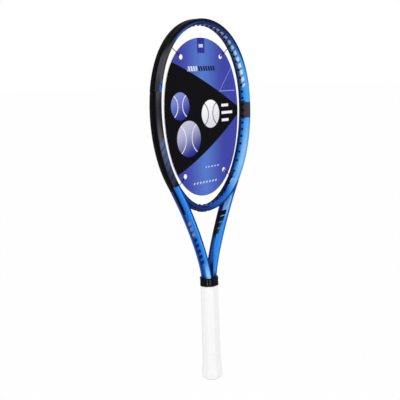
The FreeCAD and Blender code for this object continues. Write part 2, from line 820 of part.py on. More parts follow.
def tie_points(side, centre):
    """Route of a tie: toggle, through the grommet, over the card, and down its hole at the near edge."""
    angle = tie_hole_angle(centre.z > HEAD_CENTRE)
    middle = to_side(head_point(angle), side)
    outward = to_side(head_outward(angle), side)
    mouth = middle - outward * (HALF_TUBE + dim("barrel_proud") + 1)
    edge = centre + towards(centre, mouth) * (dim("card_hole_radius") - dim("tie_inset"))
    front = edge - AXIS_Y * (dim("card_thickness") / 2 + dim("tie_lift"))
    back = edge + AXIS_Y * (dim("card_thickness") / 2 + TOGGLE_GAP)
    return [middle + outward * (groove_floor(angle)[0] + TOGGLE_GAP), mouth, front, back]


def cord_edges(points):
    """Straight runs joined by tangent arcs as large as the runs allow."""
    edges = []
    start = points[0]
    for before, corner, after in zip(points, points[1:], points[2:]):
        arriving = (corner - before).normalize()
        leaving = (after - corner).normalize()
        turn = arriving.getAngle(leaving)
        cut_back = 0.45 * min((corner - before).Length, (after - corner).Length)
        radius = cut_back / math.tan(turn / 2)
        first = corner - arriving * cut_back
        last = corner + leaving * cut_back
        bisector = (leaving - arriving).normalize()
        middle = corner + bisector * (radius / math.cos(turn / 2) - radius)
        edges.append(Part.LineSegment(start, first).toShape())
        edges.append(Part.Arc(first, middle, last).toShape())
        print(f"tie bend radius {radius:.1f}")
        start = last
    edges.append(Part.LineSegment(start, points[-1]).toShape())
    return edges


def build_tie(side, centre):
    """A cord of square section: straight runs, and a turned piece at each bend."""
    points = tie_points(side, centre)
    direction = (points[1] - points[0]).normalize()
    faces = prism(points[0], direction, 1, dim("tie_diameter") * math.sqrt(math.pi / 8), 4).Faces
    profile = min(faces, key=lambda item: item.CenterOfMass.distanceToPoint(points[0]))
    pieces = []
    length = 0
    for edge in cord_edges(points):
        start = edge.Vertexes[0].Point
        end = edge.Vertexes[-1].Point
        length += edge.Length
        if edge.Curve.TypeId == "Part::GeomLine":
            pieces.append(profile.extrude(end - start))
            profile = profile.translated(end - start)
        else:
            bend = edge.Curve.Center
            axis = (start - bend).cross(end - bend)
            turn = math.degrees((start - bend).getAngle(end - bend))
            pieces.append(profile.revolve(bend, axis, turn))
            profile = profile.rotated(bend, axis, turn)
    tie = pieces[0].fuse(pieces[1:]).removeSplitter()
    print(f"tie volume {tie.Volume:.2f} against {profile.Area * length:.2f}, length {length:.1f}")
    return tie


def toggle_bar(middle, along, outward):
    """A flat bar lying along one direction, its inner face at the middle point given."""
    across = along.cross(outward)
    length, width, height = dim("toggle_length"), dim("toggle_width"), dim("toggle_thickness")
    corner = middle - along * (length / 2) - across * (width / 2)
    outline = [corner, corner + along * length, corner + along * length + across * width,
               corner + across * width]
    return flat_face(outline).extrude(outward * height)


def build_card_toggles():
    """Each bar lies behind the card, across the edge of its hole that is nearest to the grommet."""
    bars = []
    for side, centre in card_holes():
        points = tie_points(side, centre)
        toward = towards(centre, points[1])
        middle = points[3] + toward * dim("card_toggle_shift")
        bars.append(toggle_bar(middle, AXIS_Y.cross(toward), AXIS_Y))
    return Part.makeCompound(bars)


def build_frame_toggles():
    bars = []
    for side, centre in card_holes():
        start = tie_points(side, centre)[0]
        normal = to_side(groove_floor(tie_hole_angle(centre.z > HEAD_CENTRE))[1], side)
        bars.append(toggle_bar(start + normal * TOGGLE_GAP, AXIS_Y.cross(normal), normal))
    return Part.makeCompound(bars)


# ---------------------------------------------------------------- staples

def add_box(label, sizes, corner):
    """A box whose length, width, height and corner are expressions."""
    box = doc.addObject("Part::Box", label)
    for name, expression in zip(("Length", "Width", "Height"), sizes):
        box.setExpression(name, f"({expression}) * 1 mm")
    for name, expression in zip("xyz", corner):
        box.setExpression(f"Placement.Base.{name}", f"({expression}) * 1 mm")
    return box


def build_staples():
    """Two wire staples that hold the butt cap to the pallet, sunk in its front and back faces."""
    crown, wire, leg = "Dims.staple_crown", "Dims.staple_wire", "Dims.staple_leg"
    face = "(Dims.pallet_low_width * Dims.handle_ratio / 2 - 0.1)"
    boxes = []
    for name, near, side in (("front", f"-{face}", 1), ("back", face, -1)):
        crown_start = near if side > 0 else f"{near} - {wire}"
        leg_start = near if side > 0 else f"{near} - {leg}"
        boxes.append(add_box(f"staple_{name}_crown", (crown, wire, wire),
                             (f"-{crown} / 2", crown_start, "Dims.staple_height")))
        for end, across in (("left", f"-{crown} / 2"), ("right", f"{crown} / 2 - {wire}")):
            boxes.append(add_box(f"staple_{name}_{end}_leg", (wire, leg, wire),
                                 (across, leg_start, "Dims.staple_height")))
    group = []
    for index, name in enumerate(("front", "back")):
        fusion = doc.addObject("Part::MultiFuse", f"staple_{name}")
        fusion.Shapes = boxes[3 * index:3 * index + 3]
        group.append(fusion)
    staples = doc.addObject("Part::Compound", "butt_staples")
    staples.Links = group
    staples.Label = "butt_staples"
    staples.setExpression("Placement.Base.z", "-Dims.hold_height * 1 mm")
    return staples


# ---------------------------------------------------------------- assembly

def flattened(shape):
    """The same solid with true planes for faces, where its lofts are ruled between parallel edges."""
    faces = []
    for face in shape.Faces:
        outlines = []
        for wire in [face.OuterWire] + [wire for wire in face.Wires if not wire.isSame(face.OuterWire)]:
            corners = [vertex.Point for vertex in wire.OrderedVertexes]
            outlines.append(Part.makePolygon(corners + corners[:1]))
        faces.append(Part.Face(outlines))
    return solid_of(faces)


strip_right = build_side_strip()
parts = [
    add_feature("frame", build_frame()),
    add_feature("throat_bridge", build_bridge()),
    add_feature("head_bumper_guard", build_bumper()),
    add_feature("grommet_strip_right", strip_right),
    add_feature("grommet_strip_left", mirrored(strip_right)),
    add_feature("throat_grommet_strip", build_throat_strip()),
    build_pallet(),
    build_butt_cap(),
    build_staples(),
    build_base_grip(),
    build_finishing_tape(),
    build_collar(),
    add_feature("display_card", build_card()),
    add_feature("card_toggles", build_card_toggles()),
    add_feature("frame_toggles", build_frame_toggles()),
]
for side, centre in card_holes():
    level = "upper" if centre.z > HEAD_CENTRE else "lower"
    hand = "left" if side < 0 else "right"
    parts.append(add_feature(f"tie_{level}_{hand}", build_tie(side, centre)))

doc.recompute()
for item in doc.Objects:
    problems = [state for state in item.State if state in ("Invalid", "Error")]
    if problems:
        raise RuntimeError(f"{item.Label} is {problems}")
for item in parts:
    if item.Shape.isNull() or not item.Shape.isValid():
        raise RuntimeError(f"{item.Label} has no valid shape")

os.makedirs("parts", exist_ok=True)
for item in parts:
    shape = flattened(item.Shape) if item.TypeId == "PartDesign::Body" else item.Shape
    shape.exportStep(os.path.join("parts", f"{item.Label}.step"))
    print(f"{item.Label}: {len(item.Shape.Solids)} solids, {item.Shape.Volume / 1000:.1f} cm3")
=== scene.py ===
from collections import namedtuple
from functools import partialmethod
from math import acos, copysign, cos, degrees, pi, radians, sin

import bpy
import bmesh
from mathutils import Matrix, Vector


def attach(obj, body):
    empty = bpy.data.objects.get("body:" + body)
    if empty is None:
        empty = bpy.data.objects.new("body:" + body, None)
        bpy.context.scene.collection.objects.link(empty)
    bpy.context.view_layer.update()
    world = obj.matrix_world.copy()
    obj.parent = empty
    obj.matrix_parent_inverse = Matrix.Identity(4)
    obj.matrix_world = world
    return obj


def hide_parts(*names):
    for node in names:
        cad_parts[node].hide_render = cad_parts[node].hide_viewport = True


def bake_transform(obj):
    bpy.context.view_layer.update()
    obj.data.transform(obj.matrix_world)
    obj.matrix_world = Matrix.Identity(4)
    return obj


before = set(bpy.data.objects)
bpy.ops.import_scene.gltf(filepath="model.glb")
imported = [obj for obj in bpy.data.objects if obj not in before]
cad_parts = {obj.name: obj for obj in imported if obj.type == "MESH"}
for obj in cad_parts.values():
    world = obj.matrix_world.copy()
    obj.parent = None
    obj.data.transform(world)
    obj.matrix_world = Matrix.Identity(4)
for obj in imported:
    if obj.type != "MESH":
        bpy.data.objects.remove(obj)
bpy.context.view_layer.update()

# A tennis racket, unstrung, with a display card tied inside its head.
# Lengths are in millimetres from the butt end while shapes are worked out,
# and become metres in the shared frame as each mesh is made.

HOLD_HEIGHT = 90.0
TO_METRES = 0.001
AXIS_X = Vector((1, 0, 0))
AXIS_Y = Vector((0, 1, 0))
AXIS_Z = Vector((0, 0, 1))
SIDES = (-1, 1)

# ---- measures shared with the CAD source

TOTAL_LENGTH = 685.0
HEAD = {"half_width": 127.8, "half_height": 171.25, "skew": 0.0743, "fullness": 0.0547}
TUBE_HALF = 5.35
BUMPER_PROUD = 0.5
HEAD["centre"] = TOTAL_LENGTH - BUMPER_PROUD - TUBE_HALF - HEAD["half_height"]
LEAVE_ANGLE = 132.0
ARM_HANDLES = (80.0, 45.0)
SHAFT_TOP = 186.0
SHAFT_BOTTOM = 22.0
SHAFT_OFFSET = 5.5
BEAM = {"tip": 23.6, "shoulder": 26.0, "shaft": 23.0, "handle": 18.0}
SHOULDER_HEIGHT = HEAD["centre"] - 0.6 * HEAD["half_height"]
COLLAR_BOTTOM, COLLAR_TOP = 186.3, 202.0
BRIDGE_HALF = 5.25
BRIDGE_ANGLE = 138.0
CHANNEL_HALF = 3.5
CHANNEL_DEPTH = 1.6
BUMPER_ANGLE = 73.0
STRIP_START = 73.7
STRIP_PROUD = 0.2
GROOVE_DEPTH = 1.3
BARREL_RADIUS = 2.1
BORE_RADIUS = 1.25
BARREL_PROUD = 1.8
THROAT_STRIP_PROUD, THROAT_PAD_PROUD = 1.0, 1.1
MAINS_PER_SIDE = 8
MAIN_PITCH, MAIN_SPREAD = 13.0, 0.015
BRIDGE_MAINS = 4
CROSSES_EACH_WAY = 9
CROSS_MIDDLE, CROSS_PITCH = 512.1, 12.1
CROSS_SPREAD_UP, CROSS_SPREAD_DOWN = 0.037, 0.044
HOLE_CLEARANCE = 6.0
LOWER_SEVENTH_INSET = 4.7
HANDLE_RATIO = 0.885
HANDLE_BEVEL = 0.27
GRIP_THICKNESS = 1.8
TAPE_THICKNESS = 0.25
CAP_WALL = 1.1
COLLAR_WALL, COLLAR_CLEARANCE, COLLAR_LIP = 0.95, 0.3, 4.0
COLLAR_MOUTH_WIDTH, COLLAR_MOUTH_DEPTH, COLLAR_MOUTH_BEVEL = 29.4, 23.7, 3.0
CARD = {"half_width": 105.0, "half_height": 145.6, "skew": 0.071, "fullness": 0.1135, "centre": 505.5}
CARD_BACK = 1.3
CARD_HALF = 0.8
CARD_HOLES = [(side, height) for height in (616.8, 402.0) for side in SIDES]
CARD_HOLE_OFFSET = 56.3
CARD_HOLE_RADIUS = 4.7
TIE_RADIUS = 0.65
TIE_LIFT = 1.7
TIE_INSET = 1.15
CARD_TOGGLE_SHIFT = 0.3
TOGGLE_GAP = 0.1

# The channel and the side strips end sooner down the arms than in the CAD, as in the photo.
CHANNEL_ARM_PART = 0.265


# ---- curves

def egg_point(angle, half_width, half_height, skew, fullness, centre):
    lean = 1 + skew * cos(angle) + fullness * cos(angle) ** 2
    return Vector((half_width * sin(angle) * lean, 0, centre + half_height * cos(angle)))


def head_point(angle):
    return egg_point(angle, **HEAD)


def normal_of(curve, place, step=1e-4):
    along = curve(place + step) - curve(place - step)
    return Vector((-along.z, 0, along.x)).normalized()


def head_outward(angle):
    return normal_of(head_point, angle)


def arm_point(part):
    """A smooth curve from where an arm leaves the head, at 0, to the shaft's top, at 1."""
    leave = radians(LEAVE_ANGLE)
    start = head_point(leave)
    outward = head_outward(leave)
    end = Vector((SHAFT_OFFSET, 0, SHAFT_TOP))
    handles = (start, start + Vector((outward.z, 0, -outward.x)) * ARM_HANDLES[0],
               end + AXIS_Z * ARM_HANDLES[1], end)
    rest = 1 - part
    weights = (rest ** 3, 3 * rest ** 2 * part, 3 * rest * part ** 2, part ** 3)
    return sum((handle * weight for handle, weight in zip(handles, weights)), Vector((0, 0, 0)))


def smooth(value, start, end):
    share = min(max((value - start) / (end - start), 0), 1)
    return share * share * (3 - 2 * share)


def half_beam(height):
    """Half the tube's depth, which changes smoothly between the parts of BEAM."""
    depth = BEAM["tip"]
    for part, upper, lower in (("shoulder", TOTAL_LENGTH, SHOULDER_HEIGHT),
                               ("shaft", SHOULDER_HEIGHT - 20, COLLAR_TOP + 10),
                               ("handle", COLLAR_TOP, SHAFT_TOP)):
        depth += (BEAM[part] - depth) * smooth(height, upper, lower)
    return depth / 2


Station = namedtuple("Station", "point outward run")
ARM_STEPS, STRIP_ARM_STEPS, LEG_STEPS = 60, 16, 5


def head_stations(start, end, step=1.2):
    count = max(2, round(abs(end - start) / step)) + 1
    angles = [radians(start + (end - start) * index / (count - 1)) for index in range(count)]
    return [Station(head_point(angle), head_outward(angle), head_run(angle)) for angle in angles]


RUN_STEPS = 720
RUN_STEP = radians(360 / RUN_STEPS)
RUN_TABLE = [0.0]
for index in range(RUN_STEPS):
    chord = head_point((index + 1) * RUN_STEP) - head_point(index * RUN_STEP)
    RUN_TABLE.append(RUN_TABLE[-1] + chord.length)


def head_run(angle):
    """Length along the head from the tip, negative on the left."""
    place = abs(angle) / RUN_STEP
    index = min(int(place), RUN_STEPS - 1)
    run = RUN_TABLE[index] + (RUN_TABLE[index + 1] - RUN_TABLE[index]) * (place - index)
    return copysign(run, angle)


def arm_stations(end_part, count):
    stations = []
    previous = arm_point(0)
    run = head_run(radians(LEAVE_ANGLE))
    for index in range(1, count + 1):
        part = end_part * index / count
        point = arm_point(part)
        run += (point - previous).length
        previous = point
        stations.append(Station(point, normal_of(arm_point, part), run))
    return stations


def on_side(stations, side):
    if side > 0:
        return stations
    return [Station(to_side(point, side), to_side(outward, side), -run) for point, outward, run in stations]


def to_side(vector, side):
    return Vector((side * vector.x, vector.y, vector.z))


def tube_stations():
    """The whole hairpin, from the foot of one leg to the foot of the other."""
    right = head_stations(0, LEAVE_ANGLE) + arm_stations(1, ARM_STEPS)
    run = right[-1].run
    for index in range(1, LEG_STEPS + 1):
        drop = (SHAFT_TOP - SHAFT_BOTTOM) * index / LEG_STEPS
        right.append(Station(Vector((SHAFT_OFFSET, 0, SHAFT_TOP - drop)), AXIS_X, run + drop))
    return on_side(right[:0:-1], -1) + right


def strip_stations(side):
    arm = arm_stations(CHANNEL_ARM_PART, STRIP_ARM_STEPS)
    return on_side(head_stations(STRIP_START, LEAVE_ANGLE) + arm, side)


# ---- string holes

def main_offset(index):
    """How far from the middle a main string runs."""
    steps = index - 0.5
    return MAIN_PITCH * steps + MAIN_SPREAD * steps ** 3


def cross_height(index):
    spread = CROSS_SPREAD_UP if index > 0 else CROSS_SPREAD_DOWN
    return CROSS_MIDDLE + CROSS_PITCH * index + spread * index ** 3


def angle_at_offset(offset, low, high):
    """The head's angle, between two others, at a distance from the middle."""
    rising = head_point(high).x > head_point(low).x
    for _ in range(40):
        middle = (low + high) / 2
        if (head_point(middle).x < offset) == rising:
            low = middle
        else:
            high = middle
    return middle


def bridge_angle(offset):
    return angle_at_offset(offset, radians(100), pi)


def side_hole_angles():
    """Mains above and below, and crosses that keep clear of them."""
    angles = [angle_at_offset(main_offset(index), 0, pi / 2) for index in range(1, MAINS_PER_SIDE + 1)]
    for index in range(BRIDGE_MAINS + 1, MAINS_PER_SIDE + 1):
        inset = LOWER_SEVENTH_INSET if index == MAINS_PER_SIDE - 1 else 0
        angles.append(angle_at_offset(main_offset(index) - inset, pi / 2, pi))
    for index in range(-CROSSES_EACH_WAY, CROSSES_EACH_WAY + 1):
        angle = acos((cross_height(index) - HEAD["centre"]) / HEAD["half_height"])
        if min((head_point(angle) - head_point(other)).length for other in angles) > HOLE_CLEARANCE:
            angles.append(angle)
    return sorted(angles)


SIDE_ANGLES = side_hole_angles()


def holes_between(low, high):
    return [angle for angle in SIDE_ANGLES if radians(low) < angle < radians(high)]


def channel_seat(angle):
    """How far out a string hole's axis meets the channel's floor, and the normal there."""
    seat = TUBE_HALF - CHANNEL_DEPTH
    start, outward = head_point(angle), head_outward(angle)
    if angle <= radians(LEAVE_ANGLE):
        return seat, outward
    upper_arm = [(arm_point(index / 200), normal_of(arm_point, index / 200)) for index in range(121)]
    reach = seat
    while True:
        tip = start + outward * reach
        point, normal = min(upper_arm, key=lambda item: (item[0] - tip).length)
        if (tip - point).dot(normal) >= seat:
            return reach, normal
        reach += 0.1


def side_axes(angles, sides, outer_extra):
    """(start, direction, length to the inner wall) of string holes, from the outside."""
    axes = []
    for angle in angles:
        reach = channel_seat(angle)[0] + outer_extra
        for side in sides:
            outward = to_side(head_outward(angle), side)
            axes.append((to_side(head_point(angle), side) + outward * reach, -outward, reach + TUBE_HALF))
    return axes


def bridge_axes(lower_extra):
    """The same for the bridge's upright holes, from below."""
    axes = []
    for index in range(1, BRIDGE_MAINS + 1):
        angle = bridge_angle(main_offset(index))
        rise = BRIDGE_HALF / abs(head_outward(angle).z)
        for side in SIDES:
            foot = Vector((side * main_offset(index), 0, head_point(angle).z - rise - lower_extra))
            axes.append((foot, AXIS_Z, 2 * rise + lower_extra))
    return axes


# ---- meshes

SHARP_ANGLE = 35


def in_frame(point):
    return (point - AXIS_Z * HOLD_HEIGHT) * TO_METRES


def out_of_frame(point):
    return point / TO_METRES + AXIS_Z * HOLD_HEIGHT


def new_object(name, data):
    thing = bpy.data.objects.new(name, data)
    bpy.context.scene.collection.objects.link(thing)
    return thing


def turn_outward(mesh):
    work = bmesh.new()
    work.from_mesh(mesh)
    bmesh.ops.recalc_face_normals(work, faces=work.faces)
    work.to_mesh(mesh)
    work.free()


def object_from(name, points, faces, maps=()):
    mesh = bpy.data.meshes.new(name)
    mesh.from_pydata([in_frame(point) for point in points], [], faces)
    for label, values in maps:
        layer = mesh.uv_layers.new(name=label)
        for loop in mesh.loops:
            layer.data[loop.index].uv = values[loop.vertex_index]
    turn_outward(mesh)
    return new_object(name, mesh)


def circle(sides):
    """Cosine and sine at equal turns."""
    turns = [2 * pi * index / sides for index in range(sides)]
    return [(cos(turn), sin(turn)) for turn in turns]


def skin(points, faces, rings, looped=False):
    """Adds a skin over rings, with flat ends or looped back to the first ring."""
    first, size = len(points), len(rings[0])
    for ring in range(len(rings) if looped else len(rings) - 1):
        near = first + ring * size
        far = first + (ring + 1) % len(rings) * size
        for index in range(size):
            following = (index + 1) % size
            faces.append((near + index, near + following, far + following, far + index))
    if not looped:
        last = first + (len(rings) - 1) * size
        faces.append(tuple(range(first + size - 1, first - 1, -1)))
        faces.append(tuple(range(last, last + size)))
    points += [point for ring in rings for point in ring]


def ring_object(name, rings, maps=(), looped=False):
    points, faces = [], []
    skin(points, faces, rings, looped)
    return object_from(name, points, faces, maps)


def sweep(name, stations, outline_at):
    """Skin whose section at each station is an outline of (across, depth)."""
    rings, section, path = [], [], []
    for station in stations:
        outline = outline_at(station)
        point, outward, run = station
        rings.append([point + outward * across + AXIS_Y * depth for across, depth in outline])
        section += outline
        path += [(run, half_beam(point.z))] * len(outline)
    return ring_object(name, rings, (("section", section), ("path", path)))


def turned(name, axes, outline_at, sides=24, upright=AXIS_Y):
    """One turned solid per axis; the outline is (distance along, radius) pairs."""
    points, faces = [], []
    for start, direction, length in axes:
        across = upright.cross(direction).normalized()
        spokes = [upright * rise + across * reach for rise, reach in circle(sides)]
        rings = [[start + direction * along + spoke * radius for spoke in spokes]
                 for along, radius in outline_at(length)]
        skin(points, faces, rings)
    return object_from(name, points, faces)


def combine(target, other, operation):
    """Adds, or cuts away, another closed mesh, which is then gone."""
    modifier = target.modifiers.new("combine", "BOOLEAN")
    modifier.operation = operation
    modifier.solver = "MANIFOLD"
    modifier.object = other
    graph = bpy.context.evaluated_depsgraph_get()
    made = bpy.data.meshes.new_from_object(target.evaluated_get(graph))
    target.modifiers.clear()
    before = target.data
    target.data = made
    bpy.data.meshes.remove(before)
    made.name = target.name
    bpy.data.objects.remove(other)
    return target


def dress(thing, surface):
    thing.data.materials.clear()
    thing.data.materials.append(surface.material)


def finish_piece(thing, surface, body, node):
    """Shading, material, body and the CAD node it stands for."""
    thing.data.shade_smooth()
    thing.data.set_sharp_from_angle(angle=radians(SHARP_ANGLE))
    dress(thing, surface)
    if body:
        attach(thing, body)
    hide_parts(node)


# ---- materials

def colour(code):
    """Linear colour from a hexadecimal one as it should look on screen."""
    channels = [int(code[place:place + 2], 16) / 255 for place in (1, 3, 5)]
    linear = [value / 12.92 if value <= 0.04045 else ((value + 0.055) / 1.055) ** 2.4 for value in channels]
    return (*linear, 1.0)


class Field:
    """A number worked out by a material's nodes at each point of a surface."""

    def __init__(self, nodes, socket):
        self.nodes = nodes
        self.socket = socket

    def join(self, operation, *others):
        node = self.nodes.node("ShaderNodeMath")
        node.operation = operation
        return self.nodes.number(node, self, *others)

    def __rsub__(self, other):
        return self.join("MULTIPLY_ADD", -1, other)

    def ramp(self, start, end, low=0.0, high=1.0):
        """Smoothly from low to high as this goes from start to end."""
        node = self.nodes.node("ShaderNodeMapRange")
        node.interpolation_type = "SMOOTHSTEP"
        return self.nodes.number(node, self, start, end, low, high)

    def above(self, edge, soft):
        """0 below an edge and 1 above it."""
        if isinstance(edge, Field):
            return (self - edge).above(0, soft)
        return self.ramp(edge - soft, edge + soft)

    def below(self, edge, soft):
        return 1 - self.above(edge, soft)

    def within(self, low, high, soft):
        return self.above(low, soft) & self.below(high, soft)

    def share(self, pitch):
        """0 to 1 along each of the equal steps that it falls into."""
        return (self / pitch).join("FRACT")


# The other signs; of two masks, | takes the larger and & the product.
for sign, operation in (("add", "ADD"), ("sub", "SUBTRACT"), ("mul", "MULTIPLY"), ("truediv", "DIVIDE"),
                        ("abs", "ABSOLUTE"), ("or", "MAXIMUM"), ("and", "MULTIPLY")):
    setattr(Field, f"__{sign}__", partialmethod(Field.join, operation))


def length_of(across, along):
    return (across * across + along * along).join("SQRT")


class Nodes:
    """Adds nodes to the tree of a material or of the world."""

    def __init__(self, owner):
        owner.use_nodes = True
        self.tree = owner.node_tree

    def node(self, kind):
        return self.tree.nodes.new(kind)

    def plug(self, source, socket):
        if isinstance(source, Field):
            source = source.socket
        if isinstance(source, bpy.types.NodeSocket):
            self.tree.links.new(source, socket)
        else:
            socket.default_value = source

    def number(self, node, *values):
        """The number that a node makes of the values in its first sockets."""
        for value, socket in zip(values, node.inputs):
            self.plug(value, socket)
        return Field(self, node.outputs[0])

    def ray(self, kind):
        return Field(self, self.node("ShaderNodeLightPath").outputs[f"Is {kind} Ray"])


class Surface(Nodes):
    """A named material, the slot name it keeps, and what is painted on it."""

    def __init__(self, name, base, roughness, specular, slot=None):
        self.slot = slot
        self.material = bpy.data.materials.new(name)
        super().__init__(self.material)
        self.shader = self.tree.nodes["Principled BSDF"]
        self.shader.inputs["Base Color"].default_value = colour(base)
        self.shader.inputs["Roughness"].default_value = roughness
        self.shader.inputs["Specular IOR Level"].default_value = specular
        self.material.diffuse_color = colour(base)
        self.top = base

    def split(self, vector):
        node = self.node("ShaderNodeSeparateXYZ")
        self.plug(vector, node.inputs[0])
        return [Field(self, output) for output in node.outputs]

    def map(self, name):
        node = self.node("ShaderNodeUVMap")
        node.uv_map = name
        return self.split(node.outputs[0])[:2]

    def position(self):
        """x, y and height above the butt end, in millimetres."""
        node = self.node("ShaderNodeTexCoord")
        x, y, z = self.split(node.outputs["Object"])
        return x / TO_METRES, y / TO_METRES, z / TO_METRES + HOLD_HEIGHT

    def noise(self, scale, detail):
        """Noise about 0..1 with spots some 1/scale metres apart."""
        place = self.node("ShaderNodeTexCoord")
        node = self.node("ShaderNodeTexNoise")
        node.inputs["Scale"].default_value = scale
        node.inputs["Detail"].default_value = detail
        self.plug(place.outputs["Object"], node.inputs["Vector"])
        return Field(self, node.outputs["Fac"])

    def mix(self, mask, first, second):
        node = self.node("ShaderNodeMix")
        node.data_type = "RGBA"
        self.plug(mask, node.inputs[0])
        for item, socket in zip((first, second), node.inputs[6:]):
            self.plug(colour(item) if isinstance(item, str) else item, socket)
        return node.outputs[2]

    def lay(self, mask, shade, other=None, share=None):
        """Lays a colour over what is there, where the mask is 1; share blends it into another."""
        if other:
            shade = self.mix(share, shade, other)
        self.top = self.mix(mask, self.top, shade)
        self.plug(self.top, self.shader.inputs["Base Color"])

    def emboss(self, height, distance, strength):
        """height is 0..1; distance in metres is what 1 stands for."""
        node = self.node("ShaderNodeBump")
        node.inputs["Strength"].default_value = strength
        node.inputs["Distance"].default_value = distance
        self.plug(height, node.inputs["Height"])
        self.plug(node.outputs[0], self.shader.inputs["Normal"])


# Paint is laid in layers, each over the one before. Numbers are spans in millimetres; the last one
# of above, below and within is how soft the edge is.

def slanted_bars(run, across, pitch, width, slant):
    """Bars that repeat along a run and lean as they cross it."""
    share = (run + across * slant).share(pitch) * pitch
    return share.within(pitch / 2 - width / 2, pitch / 2 + width / 2, 0.2)


# What the frame's paint is laid out by: distances out of the tube's centreline, towards the bright face,
# and in from the bright and the dark face; length from the tip; "turn", from the dark face round the
# outside; and "swing", from the back of the inner wall to the bright face.
Place = namedtuple("Place", "across facing bright_edge dark_edge length turn swing")

# Spans along the tube, as lengths from the tip.
BRIGHT_BARS = (36, 192)
PATCH_MIDDLE, PATCH_REACH = 236, 15.5
SHORT_BARS = (132, 172)
FADING_BLOCKS = (269.5, 352)
PAINT_JOIN = 365.5
ARM_BLOCKS = (446, 495.2)
ARM_BARS = (440, 540)


def tube_place(paint):
    across, depth = paint.map("section")
    run, half = paint.map("path")
    facing = depth * run.join("SIGN") * -1
    dark_edge = half + facing
    return Place(across, facing, half - facing, dark_edge, abs(run),
                 across * 0.69 + dark_edge * 0.73, across * 0.34 + facing * 0.41)


def paint_bright_hoop(lay, place):
    """Painted shade: navy behind the inner wall and darker by the tip; then royal, azure and a broad
    painted highlight.
    """
    across, _, bright_edge, _, length, _, swing = place
    # painted shade: navy, then near black, towards the back of the inner wall
    lay(swing.ramp(-0.5, -3.6), "#194ca8")
    lay(swing.ramp(-2, -4.9), "#020a36")
    # the gleam is a painted highlight near the front of the inner wall, paler further from the tip
    gleam = swing.ramp(-1.5, 1.6) & swing.ramp(3, 5.3, 1, 0.3)
    gleam = gleam & length.ramp(100, 190, 0.3, 0.9) & length.ramp(345, 378, 1, 0.65)
    lay(gleam, "#58aef0", "#98ccf2", length.ramp(240, 315))
    # painted shade along the outer edge of the bright face
    lay(across.above(4.5, 0.5) & bright_edge.below(5, 0.5), "#2763b6")
    # painted shade by the tip, where the hoop faces down: navy, and a dark royal front face
    lay(length.ramp(128, 64), "#0d205e")
    front = bright_edge.below(4.4, 1.4)
    lay(front & length.ramp(130, 70), "#142d78")
    lay(front & across.above(-3.5, 1) & length.within(70, 120, 25), "#1f5cc0")
    lay(swing.above(3.7, 0.5) & length.ramp(90, 170, 0.6, 0), "#10225e")
    lay(swing.above(4.4, 0.4) & length.ramp(120, 200, 0.95, 0), "#0e1124")
    rim = length.ramp(0, 60, 0.9, 3.7) + length.ramp(60, 200, 0, 2.2)
    lay(across.above(rim, 0.3), "#0e0e11")


def paint_bright_bars(lay, place):
    """Slanted silver bars inside the bright hoop; painted shade darkens them near the tip and at the wall's
    back.
    """
    facing, length, slant = place.facing, place.length, 0.55
    bars = slanted_bars(length, facing, 14.2, 8.6, slant)
    bars = bars & (length + facing * slant).within(*BRIGHT_BARS, 0.4)
    bars = bars & facing.within(-4.5, 8.8, 0.4) & place.across.below(-2.4, 0.5)
    # painted shade: grey at the back of the wall and near the tip
    share = facing.ramp(-1, 5) & length.ramp(50, 160, 0.35, 1)
    lay(bars & length.ramp(60, 150, 0.8, 0.95), "#3b404e", "#e9eff8", share)


def paint_patch(lay, place):
    """A dark six-sided patch across the bright hoop, with violet corners."""
    across, facing = place.across, place.facing
    visible = place.bright_edge.below(7, 0.5) | across.below(-3, 0.4)
    offset = abs(place.length - PATCH_MIDDLE)
    lay(offset.below(PATCH_REACH, 0.5) & visible & facing.above(1.5, 0.6), "#34389a")
    narrowing = abs(facing + across * 0.75 + 2.5) * 0.68
    patch = (offset + narrowing).below(PATCH_REACH + 4, 0.6) & visible & facing.above(-9, 1)
    # painted shade: the patch is darkest at the back of the inner wall and grey towards the front
    lay(patch, "#0d0d10", "#424147", place.swing.ramp(-3.4, 1))


def paint_dark_hoop(lay, place):
    """Blue inside by the tip, darkened there by painted shade; black outside with a painted grey gleam."""
    across, _, bright_edge, dark_edge, length, turn, _ = place
    band = length.below(98, 4) & dark_edge.below(4.6, 0.7) & across.within(-4.4, 0.9, 0.5)
    # painted shade: the blue band darkens towards the tip, and its inner wall is navy there
    lay(band, "#122c70", "#1c64c6", length.ramp(8, 75))
    lay(band & across.below(-1.8, 0.8) & length.below(60, 10), "#0d225c")
    inner_line = length.ramp(90, 95, 0.8, -1.9) - length.ramp(160, 170, 0, 9)
    face = dark_edge.below(5.2, 0.3) & across.above(inner_line, 0.25)
    outer = across.above(2.6, 0.4) & (bright_edge - length.ramp(240, 300, 0.8, 2)).above(0, 0.5)
    lay(face | outer, "#0b0b0e")
    # a painted highlight: the grey gleam, whose strength rises and falls along the hoop
    level = length.ramp(50, 130, 0.12, 0.85) - length.ramp(165, 218, 0, 0.66)
    level = level + length.ramp(226, 276, 0, 0.5) - length.ramp(288, 345, 0, 0.6)
    gleam = turn.ramp(9.8, 7) & turn.ramp(-0.6, 6, 0.32, 1) & dark_edge.below(10, 0.5)
    lay(gleam & (face | outer) & level, "#67666c")


